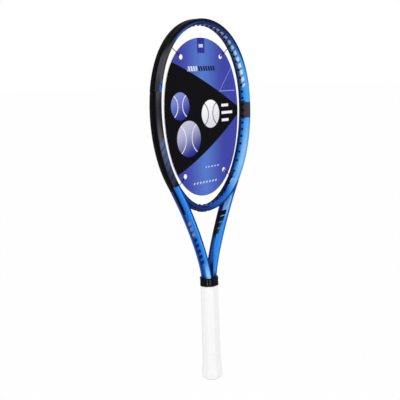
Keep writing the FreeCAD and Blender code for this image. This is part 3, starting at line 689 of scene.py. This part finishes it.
def paint_dark_marks(lay, place):
    """Two blue slivers, a short row of muted bars, and slanted blocks that fade."""
    across, _, _, dark_edge, length, turn, _ = place
    inner_side = across.above(-4.8, 0.2)
    face = dark_edge.below(10, 0.5)
    near = length.above(turn * 1.79 + 170.6, 0.4) & length.below(177.1 - turn * 1.18, 0.4)
    far = length.above(turn * 2.34 + 172.7, 0.4) & length.below(192.8 - turn * 1.07, 0.4)
    far = far & length.above(181.8 - turn * 1.47, 0.4)
    lay((near | far) & dark_edge.below(7, 0.5) & inner_side, "#2c5cae")
    lean = length + turn * 0.8
    bars = lean.share(5.4).below(0.55, 0.08) & lean.within(*SHORT_BARS, 0.4) & turn.within(4.6, 9.4, 0.4)
    lay(bars & face & length.ramp(130, 165, 0.35, 0.7), "#8a8f9c")
    slant = length - (turn + 1.7) * 1.1
    pitch, gap_width = 14.3, 3.2
    share = (slant - 280).share(pitch) * pitch
    row = slant.within(*FADING_BLOCKS, 0.4) & inner_side & face
    block = share.above(gap_width, 0.4) & row & turn.below(8.6, 0.5)
    gap = share.below(gap_width, 0.4) & row & turn.below(7.6, 0.4)
    lay(block & length.ramp(275, 362, 0.95, 0.55), "#586088", "#363d64", length.ramp(282, 345))
    lay(gap, "#3d3c40", "#242326", length.ramp(290, 350))
    lay(turn.below(1.5, 0.8) & block & length.ramp(352, 290), "#3658a0")


def paint_arms(lay, place):
    """Azure arms, navy painted shade on edges and outsides, and a pale painted highlight by the throat."""
    across, facing, bright_edge, dark_edge, length, turn, swing = place
    arms = (length.above(PAINT_JOIN, 0.3) & facing.below(1, 1)) | length.above(PAINT_JOIN + 14, 2.5)
    dark_side = arms & dark_edge.below(14, 1) & across.above(-4.9, 0.3)
    outside = arms & across.above(2, 0.6)
    lay(arms, "#1f7ade")
    # painted highlight on the front of the dark side; painted shade darkens the outside and the inner edge
    lay(dark_side & turn.within(0.2, 3.4, 1.4), "#3197ee")
    lay(outside & (turn - length.ramp(545, 572, 0, 2.4)).ramp(7, 9.6), "#1c57b2")
    lay(outside & turn.ramp(11.4, 14.8), "#0d2262")
    lay(arms & dark_edge.below(5, 0.5) & turn.below(0.7, 0.6), "#12347f")
    # a pale painted highlight by the throat
    lay(dark_side & turn.within(1.4, 8.2, 1.8) & length.ramp(532, 570), "#90cdf5")
    # the inner wall that faces the bright side, and the bright face
    inside = across.below(-2.6, 0.4)
    bright = arms & (inside | bright_edge.below(6.5, 1.5)) & facing.above(-11, 0.5)
    # painted highlights on the bright face, paler near the top of the arm
    lay(bright & across.below(4.2, 0.8), "#3592ec")
    lay(bright & across.below(3, 1) & length.ramp(470, 440), "#78b4f4")
    # painted shade along the outer edges
    lay(bright & across.above(length.ramp(532, 582, 3.2, -3.4), 0.7), "#2060be")
    lay(bright & across.above(3.6, 0.6) & length.above(548, 8), "#15367f")
    lay(bright & swing.above(4.1, 0.5) & length.above(405, 5), "#2564c0")
    # painted shade in the creases by the collar and by the bridge
    lay(bright & length.ramp(560, 573), "#15317b")
    lay(bright & length.ramp(417, 402), "#183e90")
    # painted shade: the navy back facet of the inner wall
    navy = arms & inside & facing.below(length.ramp(510, 568, 0.3, 7.8), 0.8)
    lay(navy, "#0b1d58")
    lay(navy & facing.above(-4.5, 1.2) & length.within(500, 548, 6), "#24509f")


def paint_arm_marks(lay, place):
    """Dark blocks on the inner wall, and slanted bars along the other side's outer edge."""
    across, facing, length = place.across, place.facing, place.length
    lean = length + facing * 0.36
    blocks = (lean - ARM_BLOCKS[0]).share(12.3).below(0.81, 0.02) & lean.within(*ARM_BLOCKS, 0.3)
    blocks = blocks & across.below(-2.6, 0.4) & facing.within(-9.5, length.ramp(450, 486, 10, 5.4), 0.4)
    # painted shade darkens the blocks at the back of the wall; they turn grey towards the front further
    # down
    lay(blocks, "#0b0a0c", "#4c4643", facing.ramp(-0.5, 4.5) & length.ramp(452, 486))
    lean = length - place.dark_edge * 0.7
    bars = (lean - ARM_BARS[0]).share(12.6).below(0.56, 0.03) & lean.within(*ARM_BARS, 0.4)
    bars = bars & across.above(3, 0.3) & place.turn.within(7.2, 14, 0.4)
    lay(bars & length.below(481, 1.5), "#6d7f9c")
    lay(bars & length.above(481, 1.5), "#0b1a48")


def frame_paint():
    """Paint whose left and right hoops change looks when the racket is turned round."""
    paint = Surface("carbon_frame_paint", "#2a8de6", 0.3, 0.04, "carbon_frame")
    place = tube_place(paint)
    for layers in (paint_bright_hoop, paint_bright_bars, paint_patch,
                   paint_dark_hoop, paint_dark_marks, paint_arms, paint_arm_marks):
        layers(paint.lay, place)
    return paint


def guard_surface():
    """Black nylon, on which the grey gleam of the dark hoop runs on."""
    guard = Surface("black_nylon_guard", "#0a0a0c", 0.5, 0.03, "grommet_nylon")
    place = tube_place(guard)
    edge = place.length.ramp(95, 140, 6, 11.2)
    level = place.length.ramp(95, 140, 0, 0.42) - place.length.ramp(158, 178, 0, 0.18)
    guard.lay(place.turn.below(edge, 1.2) & place.dark_edge.below(10, 0.5) & level, "#67666c")
    return guard


def bridge_paint():
    """Navy on one half, brightening along the other into a painted highlight that meets the hoop's gleam.
    """
    paint = Surface("carbon_bridge_paint", "#0c1f68", 0.35, 0.02, "carbon_frame")
    lay = paint.lay
    across = paint.map("section")[0]
    x, y, _ = paint.position()
    along = x * y.join("SIGN") * -1
    # a blue fade along the bridge, ending in a painted highlight where it meets the hoop
    lay(along.ramp(-22, 14), "#1f50a8")
    lay(along.ramp(8, 52), "#2272d4")
    lay(along.ramp(48, 68), "#4b99ed")
    lay(along.ramp(62, 80) & across.below(4, 0.8), "#86bcf2")
    # painted shade: darker on the lower half, darkest on the underside
    lay(across.above(-0.7, 0.9), "#163685")
    lay(across.above(2.2, 1), "#0c1d52")
    inside = across.below(-3.6, 0.8)
    off_middle = abs(y) + along.ramp(50, 78, 0, 2.2)
    lay(inside & off_middle.ramp(8.5, 4.5) & along.ramp(76, 52), "#1c52b0")
    lay(inside & off_middle.ramp(4.4, 0.8), "#0c2260")
    lay(inside & along.ramp(25, -45), "#040e3a")
    return paint


# Balls on the card: place across and up from its middle, radius, dark and pale side, and seams.
BALLS = ((-63, 24, 25, "#2c2f92", "#7f8cd4", "#ecebf2"),
         (-42, -36, 33, "#2c2f92", "#c3c3dc", "#ecebf2"),
         (22, 6, 26, "#dddce6", "#f8f7fa", "#0d0d12"))
# Bars of speed behind the last ball: height over its middle, and where each ends.
SPEED_BARS = ((-14, 54), (0, 66), (14, 54))


def print_ball(card, across, along, radius, shades):
    dark, pale, ink = shades
    ball = length_of(across, along).below(radius, 0.5)
    card.lay(ball, dark, pale, (along - across * 0.4).ramp(-radius, radius))
    for hand in SIDES:
        seam = length_of(across - hand * radius * 1.15, along)
        card.lay(ball & abs(seam - radius * 0.9).below(0.9, 0.3), ink)


def print_slanted_rows(card, x, up):
    """Two rows of dashes near the foot, and slanted bars under the tab."""
    dash = slanted_bars(x, up, 9, 4.5, -0.6)
    card.lay(dash & up.within(-122, -118.5, 0.3) & abs(x).below(34, 0.4), "#c9cdea")
    card.lay(dash & up.within(-94, -91.5, 0.3) & x.within(2, 42, 0.4), "#c9cdea")
    bars = slanted_bars(x, up, 7, 4.8, 0.35) & up.within(85.5, 94.5, 0.3)
    card.lay(bars & x.within(-40, -12, 0.3), "#d8d9ea")
    card.lay(bars & x.within(-12, 40, 0.3), "#15163c")


def card_print():
    """A violet-blue ground, a dark fan, three balls and thin court lines."""
    card = Surface("printed_card_front", "#4046a6", 0.5, 0.03, "printed_card")
    lay = card.lay
    x, y, height = card.position()
    up = height - CARD["centre"]
    lay(abs(x - 1).ramp(64, -10), "#587ccc")
    # the fan, wide on the left and narrow on the right
    upper = up - 70 + x * 0.45 + x * x * 0.0006
    lower = up + 66 - x * 0.52 - x * x * 0.0011
    lay(upper.below(0, 0.4) & lower.above(0, 0.4), "#08080b")
    slanting = abs(up - 60 - (x - 62) * 1.15).below(0.7, 0.3) & x.within(44, 92, 0.3)
    level = abs(up - 47).below(0.6, 0.3) & x.within(30, 98, 0.3)
    lay((slanting | level) & upper.above(1, 0.4), "#9aa6dc")
    for ball_x, ball_up, radius, *shades in BALLS:
        across, along = x - ball_x, up - ball_up
        print_ball(card, across, along, radius, shades)
    for shift, reach in SPEED_BARS:
        lay(abs(along - shift).below(2.6, 0.3) & across.within(33, reach, 0.4), "#f3f2f6")
    print_slanted_rows(card, x, up)
    # the tab and its slot, then the bare edge of the board
    lay(abs(x).below(10.5, 0.5) & up.above(118, 0.5), "#2e3590")
    lay(abs(x).below(6, 0.3) & up.within(128, 134, 0.3), "#c9cdea")
    lay(abs(y - CARD_BACK).below(CARD_HALF - 0.05, 0.02), "#e9e7e0")
    return card


def grip_surface():
    """White wrap with a very light grain and one shallow spiral seam."""
    grip = Surface("polyurethane_grip", "#f4f3f4", 0.62, 0.3, "grip_wrap")
    x, y, height = grip.position()
    wrap_pitch = 27
    wrap = (height / wrap_pitch + y.join("ARCTAN2", x) / (2 * pi)).join("FRACT")
    seam = abs(wrap - 0.5).below(0.012, 0.01)
    grip.lay(seam * 0.10, "#b9b8bb")
    grip.emboss(grip.noise(1800, 3) * 0.25 - seam, 0.00012, 0.6)
    return grip


def collar_surface():
    """Glossy black rubber with two faint upright glints."""
    rubber = Surface("collar_rubber_black", "#08080a", 0.25, 0.05, "collar_rubber")
    x, y, height = rubber.position()
    beside = (x * 0.64 - y * 0.77) * y.join("SIGN") * -1
    glint = beside.within(-4.6, -2.4, 0.5) | (beside.within(0.6, 3.4, 0.5) * 0.9)
    rubber.lay(glint & height.within(COLLAR_BOTTOM + 2.2, COLLAR_TOP - 2.2, 0.6), "#3d3e42")
    return rubber


def steel_surface():
    steel = Surface("staple_steel_bright", "#b9bcc2", 0.3, 0.5, "staple_steel")
    steel.shader.inputs["Metallic"].default_value = 1.0
    return steel


nylon = Surface("black_nylon", "#0a0a0c", 0.5, 0.03, "grommet_nylon")


# ---- tube and bridge

CORNER_STEPS = 9
CORNER_RADIUS = 4.9
SIDE_BULGE = 0.12
BRIDGE_MIDDLE_DEPTH, BRIDGE_END_DEPTH = 21.5, 25.1
BRIDGE_CORNER_RADIUS = 4.6
HOLE_RADIUS = BARREL_RADIUS + 0.05
CUT_EXTRA = 2


def rounded_outline(half_width, half_depth, radius):
    """A rectangle with round edges and sides that swell a little."""
    outline = []
    for across, depth, start in ((1, 1, 0), (-1, 1, 90), (-1, -1, 180), (1, -1, 270)):
        for step in range(CORNER_STEPS + 1):
            turn = radians(start + 90 * step / CORNER_STEPS)
            outline.append((across * (half_width - radius - SIDE_BULGE) + radius * cos(turn),
                            depth * (half_depth - radius) + radius * sin(turn)))
        if start in (0, 180):
            outline.append((0, depth * half_depth))
        else:
            for share in (0.5, 0, -0.5):
                swell = half_width - SIDE_BULGE * 2 * share * share
                outline.append((across * swell, depth * (half_depth - radius) * share))
    return outline


def mirrored(outline):
    """An outline's first half, and its mirror image on the way back."""
    return outline + [(across, -depth) for across, depth in reversed(outline)]


def tube_outline(station):
    return rounded_outline(TUBE_HALF, half_beam(station.point.z), CORNER_RADIUS)


def bridge_outline(station):
    end_share = smooth(abs(station.point.x), 0, head_point(radians(BRIDGE_ANGLE)).x)
    depth = BRIDGE_MIDDLE_DEPTH + (BRIDGE_END_DEPTH - BRIDGE_MIDDLE_DEPTH) * end_share
    return rounded_outline(BRIDGE_HALF, depth / 2, BRIDGE_CORNER_RADIUS)


def cut_channel(stations):
    outline = mirrored([(TUBE_HALF + CUT_EXTRA, CHANNEL_HALF), (TUBE_HALF - CHANNEL_DEPTH, CHANNEL_HALF)])
    combine(tube, sweep("channel", stations, lambda station: outline), "DIFFERENCE")


def drill(target, axes, extra):
    cutter = turned("drill", axes, lambda length: ((-CUT_EXTRA, HOLE_RADIUS),
                                                   (length + extra, HOLE_RADIUS)))
    combine(target, cutter, "DIFFERENCE")


def build_bridge(blank):
    bridge = sweep("throat_bridge_piece", head_stations(BRIDGE_ANGLE, 360 - BRIDGE_ANGLE), bridge_outline)
    combine(bridge, blank, "DIFFERENCE")
    drill(bridge, bridge_axes(3), 3)
    drill(bridge, side_axes(holes_between(LEAVE_ANGLE - 6, 180), SIDES, 0), CUT_EXTRA)
    return bridge


tube = sweep("frame_hairpin", tube_stations(), tube_outline)
bridge = build_bridge(new_object("tube_blank", tube.data.copy()))
cut_channel(head_stations(-STRIP_START, STRIP_START))
for side in SIDES:
    cut_channel(strip_stations(side))
drill(tube, side_axes(SIDE_ANGLES, SIDES, CUT_EXTRA), CUT_EXTRA)
finish_piece(tube, frame_paint(), "racket", "frame")
finish_piece(bridge, bridge_paint(), "racket", "throat_bridge")


# ---- bumper guard and grommet strips

FIT = 0.03
BARREL_START = 0.3
BARREL_END = 0.5
GUARD_STEPS = 6
GUARD_REACH_TIP, GUARD_REACH_END = 72, 48


def grooved(outer, shoulder):
    """Outline of a strip: string groove, shoulder, and tongue in the channel."""
    floor = outer - GROOVE_DEPTH
    groove = [(floor, 0.6), (floor + 0.15, 1.1), (floor + 0.5, 1.45), (outer - 0.25, 1.6), (outer, 1.9)]
    return mirrored(groove + shoulder + [(TUBE_HALF - CHANNEL_DEPTH + FIT, CHANNEL_HALF - FIT)])


def bumper_outline(station):
    """It reaches further round the tube's edges at the tip than at its ends."""
    centre_across = TUBE_HALF - CORNER_RADIUS
    centre_depth = half_beam(station.point.z) - CORNER_RADIUS
    end_share = smooth(abs(station.run), 20, 150)
    reach = radians(GUARD_REACH_TIP + (GUARD_REACH_END - GUARD_REACH_TIP) * end_share)
    turns = [reach * step / GUARD_STEPS for step in range(GUARD_STEPS + 1)]
    outer = [(CORNER_RADIUS + BUMPER_PROUD - 0.15 * (turn / reach) ** 2, turn) for turn in turns]
    inner = [(CORNER_RADIUS + FIT, turn) for turn in reversed(turns)]
    shoulder = [(centre_across + radius * cos(turn), centre_depth + radius * sin(turn))
                for radius, turn in outer + inner]
    return grooved(TUBE_HALF + BUMPER_PROUD, shoulder + [(TUBE_HALF + FIT, CHANNEL_HALF - FIT)])


def barrel_outline(length):
    end = length + BARREL_PROUD
    return (0, BARREL_RADIUS), (end - BARREL_END, BARREL_RADIUS), (end, BARREL_RADIUS - 0.35)


def bore_outline(length):
    """A bore from above the string groove to a mouth that opens out."""
    end = length + BARREL_PROUD
    return (-7, BORE_RADIUS), (end - BARREL_END, BORE_RADIUS), (end + 0.6, BORE_RADIUS + 0.6)


def with_barrels(strip, axes):
    combine(strip, turned("barrels", axes, barrel_outline), "UNION")
    combine(strip, turned("bores", axes, bore_outline), "DIFFERENCE")
    return strip


def build_bumper():
    bumper = sweep("head_bumper_piece", head_stations(-BUMPER_ANGLE, BUMPER_ANGLE, 1.1), bumper_outline)
    return with_barrels(bumper, side_axes(holes_between(0, BUMPER_ANGLE), SIDES, BARREL_START))


def build_side_strip(name, side):
    outer, edge, chamfer = TUBE_HALF + STRIP_PROUD, CHANNEL_HALF - FIT, 0.2
    outline = grooved(outer, [(outer, edge - chamfer), (outer - chamfer, edge)])
    strip = sweep(name, strip_stations(side), lambda station: outline)
    return with_barrels(strip, side_axes(holes_between(BUMPER_ANGLE, 180), [side], BARREL_START))


def build_throat_strip():
    """A flat strip with a string pad on each side of the middle."""
    seat = BRIDGE_HALF + FIT
    proud = BRIDGE_HALF + THROAT_STRIP_PROUD
    end = degrees(bridge_angle(main_offset(BRIDGE_MAINS) + 3))
    outline = mirrored([(proud, 2.2), (proud - 0.15, 2.8), (seat, 3.6)])
    strip = sweep("throat_strip_piece", head_stations(end, 360 - end), lambda station: outline)
    near = degrees(bridge_angle(main_offset(2) + 3))
    far = degrees(bridge_angle(main_offset(1) - 3))
    bulge = mirrored([(proud + THROAT_PAD_PROUD, 1.8), (proud + 0.8, 2.6), (seat + 0.2, 3.9)])
    for side in SIDES:
        pad = sweep("pad", on_side(head_stations(near, far), side), lambda station: bulge)
        combine(strip, pad, "UNION")
    return with_barrels(strip, bridge_axes(BARREL_START))


finish_piece(build_bumper(), guard_surface(), "racket", "head_bumper_guard")
for name, side in (("grommet_strip_left", -1), ("grommet_strip_right", 1)):
    finish_piece(build_side_strip(name + "_piece", side), nylon, "racket", name)
finish_piece(build_throat_strip(), nylon, "racket", "throat_grommet_strip")


# ---- handle

GRIP_TOP, GRIP_TOP_WIDTH = 192, 30.0
FLARE_TOP, FLARE_TOP_WIDTH = 35, 32.8
# Heights of the butt's flare and its widths there, without the grip.
FLARE = ((3.2, 35.0), (6, 36.9), (10, 38.2), (14, 37.9),
         (18, 36.4), (22, 35.1), (27, 34.0), (FLARE_TOP, 33.1))
ABOVE_FLARE = (45, 32.75)
EDGE_ROUNDING, GRIP_ROUNDING, COLLAR_ROUNDING = 1.2, 1.6, 2.0


def octagon_ring(height, width, depth, bevel, rounding):
    """Corners of an octagon, each rounded off in three steps."""
    half_x, half_y = width / 2, depth / 2
    near_x, near_y = half_x - bevel, half_y - bevel
    quarter = [Vector((half_x, near_y)), Vector((near_x, half_y))]
    half = quarter + [Vector((-corner.x, corner.y)) for corner in reversed(quarter)]
    corners = half + [Vector((corner.x, -corner.y)) for corner in reversed(half)]
    ring = []
    for index, here in enumerate(corners):
        before = here + (corners[index - 1] - here).normalized() * rounding
        after = here + (corners[(index + 1) % len(corners)] - here).normalized() * rounding
        for share in (0, 0.33, 0.67, 1):
            rest = 1 - share
            point = before * rest * rest + here * 2 * rest * share + after * share * share
            ring.append(Vector((point.x, point.y, height)))
    return ring


def handle_ring(height, width, trim=0.0, rounding=EDGE_ROUNDING):
    """A ring round the handle; trim is how far inside the pallet's skin it lies."""
    return octagon_ring(height, width - 2 * trim, width * HANDLE_RATIO - 2 * trim,
                        width * HANDLE_BEVEL - 0.586 * trim, rounding)


def width_at(height):
    """The pallet's width above the flare, which tapers evenly."""
    share = (height - FLARE_TOP) / (GRIP_TOP - FLARE_TOP)
    return FLARE_TOP_WIDTH + (GRIP_TOP_WIDTH - FLARE_TOP_WIDTH) * share


def build_grip():
    levels = [*FLARE, ABOVE_FLARE]
    levels += [(height, width_at(height)) for height in range(60, GRIP_TOP - 1, 13)]
    levels.append((GRIP_TOP, GRIP_TOP_WIDTH))
    rings = [handle_ring(height, width, -GRIP_THICKNESS, GRIP_ROUNDING) for height, width in levels]
    rings += [handle_ring(height, width) for height, width in reversed(levels)]
    return ring_object("base_grip_piece", rings, looped=True)


def build_cap():
    """The cap's rounded foot and flare outside, and its straight socket inside."""
    foot = ((0, 34.0, 2.2), (0.35, 34.0, 1.2), (1.0, 34.0, 0.35), (2.0, 34.3, 0.05))
    rings = [handle_ring(height, width, trim) for height, width, trim in foot]
    rings += [handle_ring(height, width, FIT) for height, width in FLARE]
    rings += [handle_ring(height, FLARE_TOP_WIDTH, CAP_WALL) for height in (FLARE_TOP, 5)]
    return ring_object("butt_cap_piece", rings)


def build_tape():
    rings = []
    for height, gap in ((178, TAPE_THICKNESS), (191, TAPE_THICKNESS), (191, 0.01), (178, 0.01)):
        rings.append(handle_ring(height, width_at(height), -GRIP_THICKNESS - gap, GRIP_ROUNDING))
    return ring_object("finishing_tape_piece", rings, looped=True)


def build_collar():
    """A ring with a lip at each end, a slight waist, and a mouth that hugs the shaft."""
    width = width_at(COLLAR_BOTTOM)
    inner = -GRIP_THICKNESS - TAPE_THICKNESS - COLLAR_CLEARANCE
    outer = inner - COLLAR_WALL
    outside = ((0, 0.35), (0.25, 0.1), (0.8, 0.0), (1.6, 0.02), (2.6, 0.3), (5, 0.42), (8, 0.45),
               (11.5, 0.36), (13.4, 0.12), (14.4, 0.0), (15.2, 0.12), (15.6, 0.5), (15.7, 1.0))
    rings = [handle_ring(COLLAR_BOTTOM + rise, width, outer + trim, COLLAR_ROUNDING)
             for rise, trim in outside]
    mouth_foot = COLLAR_TOP - COLLAR_LIP
    for height, grown in ((COLLAR_TOP, 0.3), (COLLAR_TOP - 0.4, 0.0), (mouth_foot, 0.0)):
        rings.append(octagon_ring(height, COLLAR_MOUTH_WIDTH + grown, COLLAR_MOUTH_DEPTH + grown,
                                  COLLAR_MOUTH_BEVEL, EDGE_ROUNDING))
    for height in (mouth_foot, COLLAR_BOTTOM):
        rings.append(handle_ring(height, width, inner, COLLAR_ROUNDING))
    return ring_object("rubber_collar_piece", rings, looped=True)


cap_white = Surface("cap_plastic_white", "#eeedf0", 0.45, 0.35, "cap_plastic")
tape_white = Surface("white_tape", "#f2f2f2", 0.5, 0.3, "grip_tape")
foam = Surface("foam_cream", "#d9cfb4", 0.8, 0.2, "foam_pallet")
finish_piece(build_grip(), grip_surface(), "racket", "base_grip")
finish_piece(build_cap(), cap_white, "racket", "butt_cap")
finish_piece(build_tape(), tape_white, "racket", "finishing_tape")
finish_piece(build_collar(), collar_surface(), "collar", "rubber_collar")
for name, surface in (("handle_pallet", foam), ("butt_staples", steel_surface())):
    dress(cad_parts[name], surface)


# ---- card, ties and toggles

CARD_SIDES, PUNCH_SIDES, CORD_SIDES = 180, 32, 12
TOGGLE_HALF = 0.7
# Distances from a toggle's middle, and how thick it is there.
TOGGLE_PROFILE = ((-4.5, 0.55), (-4.2, 0.85), (-3.6, 1.0), (-1.4, 0.9), (-0.8, 1.0),
                  (0.8, 1.0), (1.4, 0.9), (3.6, 1.0), (4.2, 0.85), (4.5, 0.55))


def build_card():
    outline = [egg_point(2 * pi * index / CARD_SIDES, **CARD) for index in range(CARD_SIDES)]
    rings = [[point + AXIS_Y * (CARD_BACK + side * CARD_HALF) for point in outline] for side in SIDES]
    card = ring_object("display_card_piece", rings)
    starts = [Vector((side * CARD_HOLE_OFFSET, CARD_BACK - 3, height)) for side, height in CARD_HOLES]
    punch = turned("punch", [(start, AXIS_Y, 6) for start in starts],
                   lambda length: ((0, CARD_HOLE_RADIUS), (length, CARD_HOLE_RADIUS)), PUNCH_SIDES, AXIS_X)
    return combine(card, punch, "DIFFERENCE")


def tie_route(side, height):
    """From the string groove, through the grommet, over the card and down its hole."""
    seventh = main_offset(MAINS_PER_SIDE - 1)
    if height > HEAD["centre"]:
        angle, proud = angle_at_offset(seventh, 0, pi / 2), BUMPER_PROUD
    else:
        angle, proud = angle_at_offset(seventh - LOWER_SEVENTH_INSET, pi / 2, pi), STRIP_PROUD
    reach, normal = channel_seat(angle)
    reach += (CHANNEL_DEPTH + proud - GROOVE_DEPTH) / normal.dot(head_outward(angle))
    middle = to_side(head_point(angle), side)
    outward = to_side(head_outward(angle), side)
    mouth = middle - outward * (TUBE_HALF + BARREL_PROUD + 1)
    hole = Vector((side * CARD_HOLE_OFFSET, CARD_BACK, height))
    toward = Vector((mouth.x - hole.x, 0, mouth.z - hole.z)).normalized()
    edge = hole + toward * (CARD_HOLE_RADIUS - TIE_INSET)
    over = edge - AXIS_Y * (CARD_HALF + TIE_LIFT)
    under = edge + AXIS_Y * (CARD_HALF + TOGGLE_GAP)
    return (middle + outward * (reach + TOGGLE_GAP), mouth, over, under), to_side(normal, side), toward


def spline_line(name, route):
    """Points along a cord's spline through its route."""
    curve = bpy.data.curves.new(name + "_line", "CURVE")
    curve.dimensions = "3D"
    curve.resolution_u = 16
    spline = curve.splines.new("NURBS")
    spline.points.add(len(route) - 1)
    for point, place in zip(spline.points, route):
        point.co = (*in_frame(place), 1.0)
    spline.order_u = 3
    spline.use_endpoint_u = True
    holder = new_object(name + "_line", curve)
    bpy.context.view_layer.update()
    line = bpy.data.meshes.new_from_object(holder)
    points = [out_of_frame(vertex.co) for vertex in line.vertices]
    bpy.data.objects.remove(holder)
    bpy.data.meshes.remove(line)
    return points


def build_tie(name, route):
    """A round cord, without twist, along its spline."""
    points = spline_line(name, route)
    across = (points[1] - points[0]).normalized().orthogonal()
    rings = []
    for index, point in enumerate(points):
        ahead = (points[min(index + 1, len(points) - 1)] - points[max(index - 1, 0)]).normalized()
        across = (across - ahead * across.dot(ahead)).normalized()
        beside = ahead.cross(across)
        spokes = [across * reach + beside * rise for reach, rise in circle(CORD_SIDES)]
        rings.append([point + spoke * TIE_RADIUS for spoke in spokes])
    return ring_object(name + "_piece", rings)


def build_toggles(name, bars):
    """Small moulded bars with rounded ends and a thicker middle."""
    corners = [[copysign(abs(value) ** 0.6, value) for value in corner] for corner in circle(CORD_SIDES)]
    points, faces = [], []
    for middle, along, outward in bars:
        across = along.cross(outward)
        skin(points, faces, [[middle + along * place + across * reach * share
                              + outward * (1 + rise * share) * TOGGLE_HALF for reach, rise in corners]
                             for place, share in TOGGLE_PROFILE])
    return object_from(name, points, faces)


elastic = Surface("elastic_black", "#101013", 0.8, 0.1, "elastic_cord")
toggle_black = Surface("toggle_black", "#0c0c0f", 0.45, 0.07, "toggle_plastic")
finish_piece(build_card(), card_print(), "card", "display_card")
frame_bars, card_bars = [], []
for side, height in CARD_HOLES:
    route, normal, toward = tie_route(side, height)
    name = f"tie_{'upper' if height > HEAD['centre'] else 'lower'}_{'left' if side < 0 else 'right'}"
    tie = build_tie(name, route)
    finish_piece(tie, elastic, None, name)
    in_frame(route[1])
    in_frame(route[2])
    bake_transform(tie)
    frame_bars.append((route[0] + normal * TOGGLE_GAP, AXIS_Y.cross(normal).normalized(), normal))
    card_bars.append((route[3] + toward * CARD_TOGGLE_SHIFT, AXIS_Y.cross(toward), AXIS_Y))
finish_piece(build_toggles("frame_toggle_bars", frame_bars), toggle_black, "racket", "frame_toggles")
finish_piece(build_toggles("card_toggle_bars", card_bars), toggle_black, "card", "card_toggles")


# ---- floor, light and camera

FLOOR_HALF = 30.0
FLOOR_SEEN_SHARE = 0.95
ROOM_STRENGTH = 0.78
LAMP_TARGET = (0, 0, 0.3)
LAMP_SIZE = 1.6
CAMERA_PLACE = (-1111.9, -926.8, 584.1)
CAMERA_RIGHT = (0.6418, -0.7661, -0.0357)
CAMERA_ABOVE = (0.1444, 0.0751, 0.9867)
CAMERA_LENS = 69.98


def build_floor():
    """Pale to the camera and white to light; it catches a soft shadow."""
    mesh = bpy.data.meshes.new("floor")
    level = -HOLD_HEIGHT * TO_METRES
    corners = ((-1, -1), (1, -1), (1, 1), (-1, 1))
    mesh.from_pydata([(x * FLOOR_HALF, y * FLOOR_HALF, level) for x, y in corners], [], [(0, 1, 2, 3)])
    floor = new_object("floor", mesh)
    pale = Surface("pale_floor", "#ffffff", 0.9, 0.0)
    glow = pale.node("ShaderNodeEmission")
    glow.inputs["Strength"].default_value = 1.0
    blend = pale.node("ShaderNodeMixShader")
    share = pale.ray("Camera") * FLOOR_SEEN_SHARE
    for item, socket in zip((share, pale.shader.outputs[0], glow.outputs[0]), blend.inputs):
        pale.plug(item, socket)
    pale.plug(blend.outputs[0], pale.tree.nodes["Material Output"].inputs["Surface"])
    mesh.materials.append(pale.material)


def build_world():
    """White where it is seen or mirrored, and a soft grey light elsewhere."""
    world = bpy.data.worlds.new("studio")
    bpy.context.scene.world = world
    nodes = Nodes(world)
    background = nodes.tree.nodes["Background"]
    background.inputs["Color"].default_value = (1, 1, 1, 1)
    seen = nodes.ray("Camera") | nodes.ray("Transmission") | nodes.ray("Glossy")
    nodes.plug(seen.ramp(0, 1, ROOM_STRENGTH, 1), background.inputs["Strength"])


def area_light(name, place, power):
    data = bpy.data.lights.new(name, "AREA")
    data.shape = "DISK"
    data.size = LAMP_SIZE
    data.energy = power
    lamp = new_object(name, data)
    lamp.location = place
    lamp.rotation_euler = (Vector(LAMP_TARGET) - Vector(place)).to_track_quat("-Z", "Y").to_euler()


def build_camera():
    data = bpy.data.cameras.new("camera")
    data.lens = CAMERA_LENS
    data.sensor_width = 36.0
    data.clip_end = 100.0
    camera = new_object("camera", data)
    right = Vector(CAMERA_RIGHT).normalized()
    behind = right.cross(Vector(CAMERA_ABOVE)).normalized()
    turn = Matrix((right, behind.cross(right), behind)).transposed()
    camera.matrix_world = Matrix.Translation(in_frame(Vector(CAMERA_PLACE))) @ turn.to_4x4()
    bpy.context.scene.camera = camera


build_floor()
build_world()
area_light("key", (-2.2, -1.6, 1.4), 22)
area_light("fill", (0.9, -2.6, 1.2), 3)
build_camera()
bpy.context.scene.view_settings.view_transform = "Standard"
